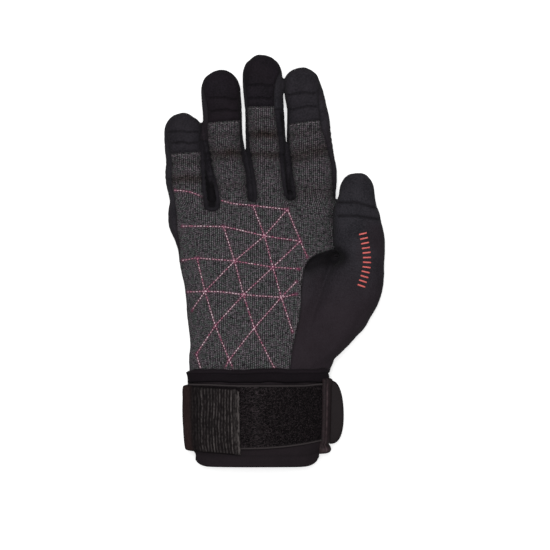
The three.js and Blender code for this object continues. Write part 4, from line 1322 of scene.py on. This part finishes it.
def bandPiece(name, angles, drops, offsets, closed=False):
    # Closed profile carried round the cuff: drops and offsets hold a row of the profile for each angle,
    # and an open band is closed by a fan at each end.
    grid = cuffPoints(angles[:, None], drops, offsets)
    rows, sides, _ = grid.shape
    quads = gridFaces(rows, sides, closeRows=closed, closeColumns=True)
    points = grid.reshape(-1, 3)
    if closed:
        return meshFrom(name, points, splitTriangles(quads))
    points = np.concatenate([points, grid[:1].mean(1), grid[-1:].mean(1)])
    ring = np.arange(sides)
    after = (ring + 1) % sides
    base = (rows - 1) * sides
    first = np.stack([np.full(sides, rows * sides), after, ring], -1)
    last = np.stack([np.full(sides, rows * sides + 1), base + ring, base + after], -1)
    return meshFrom(name, points, np.concatenate([splitTriangles(quads), first, last]))


def bandNoise(down, across, scale, seed, octaves=3):
    # Noise over a band's grid, from a place for each row and one for each column.
    rows, columns = np.meshgrid(down, across, indexing="ij")
    spots = np.stack([rows.ravel(), columns.ravel()], -1)
    return waveNoise(spots, scale, seed, octaves).reshape(rows.shape)


def addBandValues(piece, name, values):  # the middle points of the two ends get 0
    addValues(piece, name, np.append(values.ravel(), [0, 0]))


def roundedBand(width, steps, edge):
    # Profile of a band as two rows: place across it from 0 to 1, and height from 0 at its foot to 1.
    # Its outer face runs from one rounded edge to the other, then its inner face back.
    turn = np.linspace(0, np.pi / 2, 5)
    share = edge / width
    start = np.stack([share * (1 - np.cos(turn)), np.sin(turn)])
    middle = np.linspace(share, 1 - share, steps)[1:-1]
    face = np.stack([middle, np.ones(len(middle))])
    end = np.stack([1 - start[0][::-1], start[1][::-1]])
    back = np.stack([np.linspace(1, 0, 8)[1:-1], np.zeros(6)])
    return np.concatenate([start, face, end, back], 1)


def makeSleeve():
    # Outer face down to the hem, round its lip and up the inner face.
    angles, _ = evenAngles(0, 2 * np.pi, 0.9)
    angles = angles[:-1]
    outerRows, lipRows, innerRows = 64, 7, 24
    lipSize = 1.1
    hemDrop = cuff["length"] - lipSize
    lip = np.linspace(0, np.pi, lipRows + 2)[1:-1]
    share = np.concatenate([np.linspace(0.5, 1, outerRows), np.ones(lipRows),
                            np.linspace(1, -0.02, innerRows)])
    drop = np.concatenate([np.linspace(3.0, hemDrop, outerRows), hemDrop + lipSize * np.sin(lip),
                           np.linspace(hemDrop, -1.0, innerRows)])
    offset = np.concatenate([np.zeros(outerRows), lipSize * (np.cos(lip) - 1),
                             np.full(innerRows, -cuff["wall"])])
    isOuter = np.concatenate([np.ones(outerRows), np.linspace(1, 0.5, lipRows), np.full(innerRows, 0.5)])
    corner = cuff["hemCorner"] + cuff["hemCornerThumb"] * (np.cos(angles) > 0)
    corner = corner * np.abs(np.cos(angles)) ** 9
    drops = drop - smoothStep(0.75, 1, share) * corner[:, None] * (drop > 40)
    # Lumps are read round a drum of 28 mm, so that they close round the cuff.
    drum = 28 * np.cos(angles)[:, None], 28 * np.sin(angles)[:, None]
    spots = np.stack(np.broadcast_arrays(*drum, drops), -1)
    soft = waveNoise(spots.reshape(-1, 3), 17.0, 21).reshape(drops.shape)
    hem = bellCurve(drop - (cuff["length"] - 6.5), 0.6) * (offset == 0)  # its sewn line
    offsets = offset + isOuter * 0.35 * soft - 0.15 * hem
    grid = cuffPoints(angles[:, None], drops, offsets, 1.0)
    rows, sides, _ = grid.shape
    faces = splitTriangles(gridFaces(rows, sides, closeRows=True))
    top = np.arange(rows) * sides
    after = np.roll(top, -1)
    last = top + sides - 1
    seal = [np.stack([top, last, after], -1), np.stack([after, last, after + sides - 1], -1)]
    piece = meshFrom("cuffSleeve", grid.reshape(-1, 3), np.concatenate([faces, *seal]))
    # painted shade along the hem's sewn line
    addValues(piece, "creaseShade", np.tile(0.3 * hem, rows))
    return finishPiece(piece, "cuff", materials["cuff"], "cuff")


def makeRim():
    # Folded edge in two: a narrow roll along the top and a flatter puff under it. Both stand out
    # further at the little-finger side, where the fold ends in a corner.
    angles, _ = evenAngles(0, 2 * np.pi, 0.8)
    angles = angles[:-1]
    along = np.linspace(0, 1, 44)
    roll = np.clip(np.sin(np.pi * np.clip(along / 0.4, 0, 1)), 0, 1) ** 0.7
    puff = 0.8 * np.clip(1 - ((along - 0.66) / 0.36) ** 2, 0, 1) ** 0.6
    ridge = np.log(np.exp(8 * roll) + np.exp(8 * puff) - 1) / 8  # the larger of the two, joined softly
    ridge[[0, -1]] = 0
    sharp = np.where(along < 0.3, along / 0.3, np.clip((1 - along) / 0.7, 0, 1))
    back = np.linspace(1, 0, 8)[1:-1]
    corner = bellCurve(np.angle(np.exp(1j * (angles - np.pi))), 0.36)
    bulge = cuff["rimBulge"] + (cuff["rimPeak"] - cuff["rimBulge"]) * corner
    profile = ridge * (1 - corner[:, None]) + sharp * corner[:, None]
    wave = waveNoise(np.stack([np.cos(angles) * 30, np.sin(angles) * 30], -1), 24.0, 31)
    top = -cuff["rimTop"] + 0.35 * wave
    foot = cuff["rimFoot"] + 0.3 * np.roll(wave, 40)
    drops = top[:, None] + (foot - top)[:, None] * np.append(along, back)
    offsets = 0.25 + bulge[:, None] * profile
    offsets = np.concatenate([offsets, np.full((len(angles), len(back)), -1.0)], 1)
    piece = bandPiece("cuffRim", angles, drops, offsets, closed=True)
    # Painted shade: darker in the dip between roll and puff, at the foot and over the lower puff.
    dips = 0.5 * bellCurve(along - 0.36, 0.05) + 0.9 * bellCurve(along - 0.99, 0.08)
    dips = np.append(dips + 0.45 * smoothStep(0.36, 0.5, along), np.zeros(len(back)))
    addValues(piece, "creaseShade", np.tile(dips, len(angles)))
    return finishPiece(piece, "rim", materials["rim"], "cuff_rim")


strap = {
    "drop": 8.2,
    "height": 38.0,
    "elasticEnd": -0.152,
    "elasticStop": 2 * np.pi - 1.08,  # angle at which it ends on the back
    "keeperWidth": 6.0,
    "tilt": 0.06,  # how much lower the elastic's free end lies, per millimetre across
    "rib": 3.35,
    "cord": 0.42,
    "elasticTop": 2.7,
    "loopTop": 1.25,
    "endBand": 3.6,
}
elasticEnd = palmMiddle + strap["elasticEnd"] * palmHalf
strapRightX = wristMiddle + 0.92 * wristHalf + strap["elasticTop"]
keeperLeft = strapRightX - strap["keeperWidth"]


def makeElastic():
    # Woven band from its free end on the palm side, round the little-finger side and the back.
    start = float(cuffAngle(elasticEnd))
    angles, arc = evenAngles(start, strap["elasticStop"], 0.3)
    across, height = roundedBand(strap["height"], 40, 0.9)
    x = cuffPoints(angles, strapLevel, 0.0)[:, 0]
    onPalm = np.sin(angles) > 0
    left = cuffPoints(np.array([np.pi]), strapLevel, 0.0)[0, 0]
    slant = np.where(onPalm, (x - left) * strap["tilt"], 0.0) - 0.4
    low = strap["height"] - 0.6 + np.where(onPalm, 0.015 * (x - left), 0.0)
    corner = 1.5 * bellCurve(arc, 1.6)
    drops = strap["drop"] + slant[:, None] + corner[:, None] * (1 - across) ** 12 + low[:, None] * across
    # Cords stand a rib apart, each of its own strength, with a finer one between two.
    endBand, rib = strap["endBand"], strap["rib"]
    wander = 0.3 * bandNoise(arc / 3, across * 16, 9.0, 41, 2)
    place = (arc[:, None] + wander - endBand - 0.9) / rib
    near = np.abs(place - np.round(place)) * rib
    between = np.abs(place - 0.5 - np.round(place - 0.5)) * rib
    strength = 0.75 + 0.25 * np.sin(np.round(place) * 2.4 + 1.0)
    cords = np.maximum(strength * bellCurve(near, 0.34), 0.5 * bellCurve(between, 0.26))
    ribbed = smoothStep(endBand - 0.6, endBand + 0.4, arc)
    # The ribs fade where the band is pulled round the side, and come back under the hand.
    backIn = 1 - smoothStep(36.0, 42.0, arc)
    reach = 1 - 0.8 * smoothStep(21.0, 24.5, arc) * backIn
    amount = (ribbed * reach)[:, None] * cords * (height > 0.98)
    bulge = 0.3 * np.sin(np.pi * across)
    lip = 0.3 * bellCurve(arc - 0.7, 0.7)
    offsets = 0.35 + height * (strap["elasticTop"] - 0.75 + bulge + lip[:, None]) + strap["cord"] * amount
    piece = bandPiece("strapElastic", angles, drops, offsets)
    # Painted highlight along the free end's raised lip and over its flat end band; the faint rows are the
    # weave.
    edgeGlow = 0.5 * bellCurve(arc - 0.7, 0.6) + 0.3 * smoothStep(endBand + 0.3, endBand - 0.6, arc)
    rows = 0.07 * bellCurve(np.abs(across * 60 % 1 - 0.5) - 0.5, 0.3)
    addBandValues(piece, "ridge", np.clip(amount + edgeGlow[:, None] + rows, 0, 1))
    addBandValues(piece, "warm", np.repeat(smoothStep(26.0, 29.5, arc) * backIn, len(across)))
    return finishPiece(piece, "elastic", materials["elastic"], "strap_elastic")


def loopEdges(x):
    # Upper and lower edge of the loop panel: both rise towards the keeper.
    share = np.clip((x - elasticEnd) / (keeperLeft - elasticEnd), 0, 1)
    top = strap["drop"] - 0.9 - 0.8 * smoothStep(0.75, 1, share)
    top = top - 0.6 * smoothStep(elasticEnd, elasticEnd - 22, x)
    foot = strap["drop"] + 36.0 - 4.4 * share**2.3
    return top, foot


def makeLoopPanel():
    # Backing with a bound edge above and below; the pile stands on it.
    start = float(cuffAngle(keeperLeft + 0.4))
    end = float(cuffAngle(palmMiddle - palmHalf + 12))
    angles, _ = evenAngles(start, end, 0.6)
    x = cuffPoints(angles, strapLevel, 0.0)[:, 0]
    across, height = roundedBand(36.5, 90, 0.4)
    top, foot = loopEdges(x)
    foot = np.where(x < elasticEnd - 2, strap["drop"] + 30.0, foot)
    drops = top[:, None] + (foot - top)[:, None] * across
    edge = np.maximum(bellCurve(across - 0.018, 0.014), bellCurve(across - 0.982, 0.014))
    offsets = 0.3 + strap["loopTop"] * height + 0.45 * edge * (height > 0.6)
    piece = bandPiece("loopPanel", angles, drops, np.broadcast_to(offsets, drops.shape))
    addBandValues(piece, "edge", np.broadcast_to(edge * (height > 0.5), drops.shape))
    return finishPiece(piece, "loop", materials["loopBase"], "strap_loop")


pile = {"count": 8200, "height": 0.75, "span": 0.62, "width": 0.16, "seed": 52}


def makePile():
    # Loops of the pile: each a narrow arch over the backing, turned and leant at random.
    rng = np.random.default_rng(pile["seed"])
    count = pile["count"]
    start, end = float(cuffAngle(keeperLeft - 0.2)), float(cuffAngle(elasticEnd + 0.4))
    angles, arc = evenAngles(start, end, 0.05)
    where = rng.uniform(0, arc[-1], count)
    angle = np.interp(where, arc, angles)
    top, foot = loopEdges(cuffPoints(angle, strapLevel, 0.0)[:, 0])
    drop = top + 1.3 + (foot - top - 2.6) * rng.uniform(0, 1, count)
    clump = waveNoise(np.stack([where, drop], -1), 2.6, 53, 2)
    turn = rng.uniform(0, np.pi, count)
    size = rng.uniform(0.7, 1.3, count) * (1 + 0.25 * clump)
    lean = rng.normal(0, 0.35, (count, 2)) * pile["height"]
    bow = np.linspace(0, np.pi, 6)
    along = -np.cos(bow)[None, :] * pile["span"] / 2 * size[:, None]
    rise = np.sin(bow)[None, :] * pile["height"] * size[:, None]
    middleAcross = along * np.cos(turn)[:, None] + lean[:, :1] * np.sin(bow)
    middleDown = along * np.sin(turn)[:, None] + lean[:, 1:] * np.sin(bow)
    sideways = np.array([-1, 1]) * pile["width"] / 2
    ringAcross = middleAcross[..., None] + sideways * np.sin(turn)[:, None, None]
    ringDown = middleDown[..., None] - sideways * np.cos(turn)[:, None, None]
    rate = (angles[-1] - angles[0]) / arc[-1]
    points = cuffPoints(angle[:, None, None] + ringAcross * rate, drop[:, None, None] + ringDown,
                        0.3 + strap["loopTop"] - 0.05 + rise[..., None])
    base = np.arange(count)[:, None, None] * 12
    step = np.arange(5)[None, :, None] * 2
    quad = np.array([0, 1, 3, 2])[None, None, :]
    quads = (base + step + quad).reshape(-1, 4)
    piece = meshFrom("loopPile", points.reshape(-1, 3), splitTriangles(quads))
    addValues(piece, "shade", np.repeat(rng.uniform(0, 1, count), 12))
    return finishPiece(piece, "loop", materials["pile"])


keeper = {"start": -1.15, "height": 43.4, "backHeight": 36.4, "thickness": 2.6}


def makeKeeper():
    # Folded tape over the thumb-side edge, with a sewn line and a stuffed end at its foot.
    angles, arc = evenAngles(keeper["start"], float(cuffAngle(keeperLeft)), 0.3)
    across, rise = roundedBand(keeper["height"], 60, 1.6)
    spread = smoothStep(0.3, 0.8, arc / arc[-1])[:, None]  # on the back the tape is as wide as the strap
    height = keeper["backHeight"] + (keeper["height"] - keeper["backHeight"]) * spread
    drops = 8.0 - 4.4 * spread + height * across
    fromEnd = arc[-1] - arc
    roundEdge = 0.9 * np.sqrt(np.clip(1 - (1 - np.clip(fromEnd / 1.6, 0, 1)) ** 2, 0, 1)) + 0.1
    seam = bellCurve(fromEnd - 2.2, 0.35)
    stuffed = 0.9 * bellCurve(across - 0.95, 0.05) + 0.6 * bellCurve(across - 0.04, 0.05)
    stuffed = stuffed - 0.9 * bellCurve(across - 0.88, 0.02)
    soft = bandNoise(arc, across * keeper["height"], 11.0, 61)
    face = roundEdge[:, None] * (keeper["thickness"] + stuffed * spread) + 0.12 * soft - 0.35 * seam[:, None]
    piece = bandPiece("keeperTape", angles, drops, 0.35 + rise * face)
    light = seam[:, None] * np.clip(0.6 + 0.6 * soft, 0.2, 1) + 0.35 * bellCurve(across - 0.95, 0.03)
    addBandValues(piece, "ridge", light)
    return finishPiece(piece, "keeper", materials["keeper"], "strap_keeper")


tab = {"reach": 7.6, "height": 36.4, "thickness": 2.3, "rise": 3.8}


def makeTab():
    # Rounded tongue: half of a squared oval in plan, domed on both faces and rounded at its rim.
    centreY = wristLine - strap["drop"] - strap["height"] / 2 + tab["rise"]
    startX = strapRightX - 0.6
    turn = np.linspace(-np.pi / 2, np.pi / 2, 70)
    bend = np.linspace(0, np.pi / 2, 8)[1:]
    rings = np.append(np.linspace(0.02, 0.9, 14), 0.9 + 0.1 * np.sin(bend))
    flat = np.append(np.ones(14), np.cos(bend))
    c = np.sign(np.cos(turn)) * np.abs(np.cos(turn)) ** 0.72
    s = np.sign(np.sin(turn)) * np.abs(np.sin(turn)) ** 0.9
    x = startX + (tab["reach"] + 0.6) * rings[:, None] * c * (1 - 0.06 * s)
    y = centreY + tab["height"] / 2 * rings[:, None] * s
    dome = tab["thickness"] / 2 * flat * (1 - 0.25 * rings**2)
    z = np.broadcast_to(dome[:, None], x.shape)
    upper = np.stack([x, y, cuffCentre + z], -1)
    lower = np.stack([x, y, cuffCentre - z], -1)
    grid = np.concatenate([upper, lower[::-1][1:]])
    points, quads = closedTube(grid)
    piece = meshFrom("strapTab", points, splitTriangles(quads))
    rim = np.append(rings, rings[::-1][1:])
    # painted shade in a ring near the rounded rim
    addBandValues(piece, "creaseShade", np.repeat(0.4 * bellCurve(rim - 0.86, 0.03), grid.shape[1]))
    return finishPiece(piece, "tab", materials["tab"], "strap_tab")


note("cuff and strap")
makeSleeve()
makeRim()
makeElastic()
makeLoopPanel()
makePile()
makeKeeper()
makeTab()

# Stitches laid on the knit

note("stitches")


def topHeights():
    # Height of the skin's palm side on a one-millimetre grid, as means of its points.
    up = pointNormals(skinPoints, skinQuads)[:, 2] > 0.2
    spots = skinPoints[up]
    low = spots[:, :2].min(0) - 2
    cell = 1.0
    shape = tuple(((spots[:, :2].max(0) + 2 - low) / cell).astype(int) + 2)
    index = np.round((spots[:, :2] - low) / cell).astype(int)
    flatIndex = index[:, 0] * shape[1] + index[:, 1]
    count = np.bincount(flatIndex, minlength=shape[0] * shape[1]).reshape(shape)
    total = np.bincount(flatIndex, spots[:, 2], shape[0] * shape[1]).reshape(shape)
    filled = total / np.maximum(count, 1)
    known = count > 0
    for _ in range(6):
        near = [np.roll(known * 1.0, k, axis) for k in (-1, 1) for axis in (0, 1)]
        sums = [np.roll(filled * known, k, axis) for k in (-1, 1) for axis in (0, 1)]
        weight = sum(near)
        grow = ~known & (weight > 0)
        filled = np.where(grow, sum(sums) / np.maximum(weight, 1), filled)
        known = known | grow
    return filled, low, cell


heightMap, heightLow, heightCell = topHeights()


def heightAt(spots):  # height between the grid's four nearest points
    place = (spots - heightLow) / heightCell
    base = np.clip(np.floor(place).astype(int), 0, np.array(heightMap.shape) - 2)
    t = np.clip(place - base, 0, 1)
    a = heightMap[base[:, 0], base[:, 1]]
    b = heightMap[base[:, 0] + 1, base[:, 1]]
    c = heightMap[base[:, 0], base[:, 1] + 1]
    d = heightMap[base[:, 0] + 1, base[:, 1] + 1]
    return (a * (1 - t[:, 0]) + b * t[:, 0]) * (1 - t[:, 1]) + (c * (1 - t[:, 0]) + d * t[:, 0]) * t[:, 1]


def stitchRun(line, sewing, seed):
    # Two ends of each stitch along a plan line, a little out of step and out of line.
    lengths = np.linalg.norm(np.diff(line, axis=0), axis=1)
    path = np.concatenate([[0], np.cumsum(lengths)])
    rng = np.random.default_rng(seed)
    places = np.arange(sewing["pitch"] * 0.4, path[-1] - sewing["dash"] * 0.5, sewing["pitch"])
    places = places + rng.normal(0, 0.07, len(places))
    ends = []
    for side in (-0.5, 0.5):
        at = places + side * sewing["dash"]
        spots = np.stack([np.interp(at, path, line[:, 0]), np.interp(at, path, line[:, 1])], -1)
        ends.append(spots + rng.normal(0, 0.072, spots.shape))
    return np.stack(ends, 1)


def makeStitches(name, runs, sewing, material):
    # Each stitch is a capsule of five rings with six sides, bowed over the cloth between its two ends.
    ends = np.concatenate(runs)
    count = len(ends)
    thick = sewing["thick"]
    along = np.array([0.0, 0.16, 0.5, 0.84, 1.0])
    girth = np.array([0.35, 0.9, 1.0, 0.9, 0.35])
    bow = np.array([-0.5, 0.1, 0.35, 0.1, -0.5]) * thick
    spots = ends[:, :1] + (ends[:, 1:] - ends[:, :1]) * along[None, :, None]
    z = heightAt(spots.reshape(-1, 2)).reshape(count, 5) + bow - sewing["sink"]
    way = ends[:, 1] - ends[:, 0]
    way = way / np.maximum(np.linalg.norm(way, axis=1, keepdims=True), 1e-6)
    side = np.stack([-way[:, 1], way[:, 0]], -1)
    angle = np.arange(6) * np.pi / 3
    ring = np.cos(angle) * girth[:, None] * sewing["width"] / 2
    rise = np.sin(angle) * girth[:, None] * thick / 2
    x = spots[:, :, :1] + side[:, 0, None, None] * ring
    y = spots[:, :, 1:] + side[:, 1, None, None] * ring
    grid = np.stack([x, y, z[:, :, None] + rise], -1)
    tips = np.stack([np.concatenate([spots[:, k], z[:, k][:, None]], 1) for k in (0, 4)], 1)
    points = np.concatenate([grid.reshape(count, 30, 3), tips], 1)
    quads = gridFaces(5, 6, closeColumns=True)
    ringIndex = np.arange(6)
    after = (ringIndex + 1) % 6
    triangles = np.concatenate([
        splitTriangles(quads),
        np.stack([np.full(6, 30), after, ringIndex], -1),
        np.stack([np.full(6, 31), 24 + ringIndex, 24 + after], -1),
    ])
    faces = (np.arange(count)[:, None, None] * 32 + triangles[None]).reshape(-1, 3)
    piece = meshFrom(name, points.reshape(-1, 3), faces[:, ::-1])
    rng = np.random.default_rng(71)
    addValues(piece, "shade", np.repeat(rng.uniform(0, 1, count), 32))
    note(f"{name}, {count} stitches")
    return finishPiece(piece, "palm_knit", material)


pinkRuns = [stitchRun(line, stitching, 80 + k) for k, line in enumerate(stitchLines)]
makeStitches("pinkStitches", pinkRuns, stitching, materials["pinkThread"])

seamSewing = {"pitch": 2.1, "dash": 1.5, "width": 0.36, "thick": 0.3, "sink": -0.08, "inset": 1.1}
greyRuns = []
for name in fingerNames:
    left, right = [stripSide(name, side)[-1] for side in ("Left", "Right")]
    line = left + (right - left) * np.array([[0.05], [0.5], [0.95]]) - [0, seamSewing["inset"]]
    greyRuns.append(stitchRun(line, seamSewing, 120 + len(name)))
thumbSeam = roundedLine([palmPoint(*row) for row in seams["thumb"][2:-1]])
greyRuns.append(stitchRun(thumbSeam - [seamSewing["inset"], -0.3], seamSewing, 131))
makeStitches("seamStitches", greyRuns, seamSewing, materials["greyThread"])

thumbPrint = {
    "path": [(361.5, 233), (364.5, 246), (366.2, 260), (364.5, 273), (360.0, 286)],
    "pitch": 2.75,
    "reach": 4.6,  # length of a bar, across the row
    "width": 0.85,
    "rise": 0.12,
}


def makeThumbPrint():
    # A curved row of short plain bars: each is a thin slab of 7 by 3 points draped on the thumb.
    path = roundedLine([fromPixel(spot) for spot in thumbPrint["path"]])
    walk = np.concatenate([[0], np.cumsum(np.linalg.norm(np.diff(path, axis=0), axis=1))])
    at = np.arange(0.5, walk[-1], thumbPrint["pitch"])
    spots = np.stack([np.interp(at, walk, path[:, k]) for k in (0, 1)], -1)
    ahead = np.stack([np.interp(at + 0.5, walk, path[:, k]) for k in (0, 1)], -1) - spots
    ahead = ahead / np.maximum(np.linalg.norm(ahead, axis=1, keepdims=True), 1e-6)
    side = np.stack([-ahead[:, 1], ahead[:, 0]], -1)
    across = np.linspace(-0.5, 0.5, 7) * thumbPrint["reach"]
    along = np.linspace(-0.5, 0.5, 3) * thumbPrint["width"]
    plan = (spots[:, None, None] + side[:, None, None] * across[None, :, None, None]
            + ahead[:, None, None] * along[None, None, :, None])
    z = heightAt(plan.reshape(-1, 2)).reshape(plan.shape[:-1])
    faces = gridFaces(7, 3)
    edge = np.array([0, 1, 2, 5, 8, 11, 14, 17, 20, 19, 18, 15, 12, 9, 6, 3])
    after = np.roll(edge, -1)
    top = np.concatenate([plan, (z + thumbPrint["rise"])[..., None]], -1).reshape(len(at), 21, 3)
    foot = np.concatenate([plan, (z - 0.25)[..., None]], -1).reshape(len(at), 21, 3)
    walls = np.stack([edge, edge + 21, after + 21, after], -1)
    quads = np.concatenate([faces, faces[:, ::-1] + 21, walls])
    every = (np.arange(len(at))[:, None, None] * 42 + quads[None]).reshape(-1, 4)
    points = np.concatenate([top, foot], 1).reshape(-1, 3)
    piece = meshFrom("thumbPrint", points, splitTriangles(every), smooth=False)
    return finishPiece(piece, "neoprene", materials["ink"])


makeThumbPrint()

# Camera, light and floor

view = {
    "distance": 1.7,
    "frameWidth": 0.3135,
    "centre": ((275.0 - 273.43) * photoScale * mm, (261.3 - 275.0) * photoScale * mm),
    "lightSize": (0.45, 1.0),  # narrow across, so that it shines down the slits between the fingers
    "lightPlace": (-0.05, 0.22, 1.55),
    "lightPower": 17.0,
    "worldLight": 0.38,
    "floorGlow": 0.5,  # what the camera sees of the floor beyond the light that falls on it
    "floorTone": 0.93,
    "floorBounce": 0.3,  # grey of the floor as the glove sees it
    "floorHalf": 3.0,
    "floorLevel": -0.0002,
}
bpy.context.scene.view_settings.view_transform = "Standard"
camera = bpy.data.objects.new("photoCamera", bpy.data.cameras.new("photoCamera"))
bpy.context.scene.collection.objects.link(camera)
camera.data.sensor_width = 36
camera.data.lens = 36 * (view["distance"] - 0.02) / view["frameWidth"]
camera.location = (view["centre"][0], view["centre"][1], view["distance"])
bpy.context.scene.camera = camera

lamp = bpy.data.objects.new("softLight", bpy.data.lights.new("softLight", "AREA"))
lamp.data.shape = "RECTANGLE"
lamp.data.size, lamp.data.size_y = view["lightSize"]
lamp.data.energy = view["lightPower"]
lamp.location = view["lightPlace"]
lamp.rotation_euler = Vector(lamp.location).to_track_quat("Z", "Y").to_euler()
bpy.context.scene.collection.objects.link(lamp)


def cameraShare(tree, seen, unseen):  # one number for the camera's rays and another for all others
    path = tree.nodes.new("ShaderNodeLightPath")
    return addScaled(tree, unseen, path.outputs["Is Camera Ray"], seen - unseen)


world = bpy.data.worlds.new("studio")
world.use_nodes = True
worldTree = world.node_tree
background = worldTree.nodes["Background"]
background.inputs["Color"].default_value = (1, 1, 1, 1)
worldTree.links.new(cameraShare(worldTree, 1.0, view["worldLight"]), background.inputs["Strength"])
bpy.context.scene.world = world

floorMesh = bpy.data.meshes.new("floor")
corners = [(x * view["floorHalf"], y * view["floorHalf"], view["floorLevel"])
           for x, y in ((-1, -1), (1, -1), (1, 1), (-1, 1))]
floorMesh.from_pydata(corners, [], [(0, 1, 2, 3)])
floor = bpy.data.objects.new("floor", floorMesh)
bpy.context.scene.collection.objects.link(floor)
floorMaterial = bpy.data.materials.new("paleFloor")
floorMaterial.use_nodes = True
floorTree = floorMaterial.node_tree
floorShader = floorTree.nodes["Principled BSDF"]
floorShader.inputs["Roughness"].default_value = 1.0
floorShader.inputs["Specular IOR Level"].default_value = 0.0
floorShader.inputs["Emission Color"].default_value = (1, 1, 1, 1)
floorTone = cameraShare(floorTree, view["floorTone"], view["floorBounce"])
floorTree.links.new(floorTone, floorShader.inputs["Base Color"])
floorTree.links.new(cameraShare(floorTree, view["floorGlow"], 0.0), floorShader.inputs["Emission Strength"])
floorMesh.materials.append(floorMaterial)
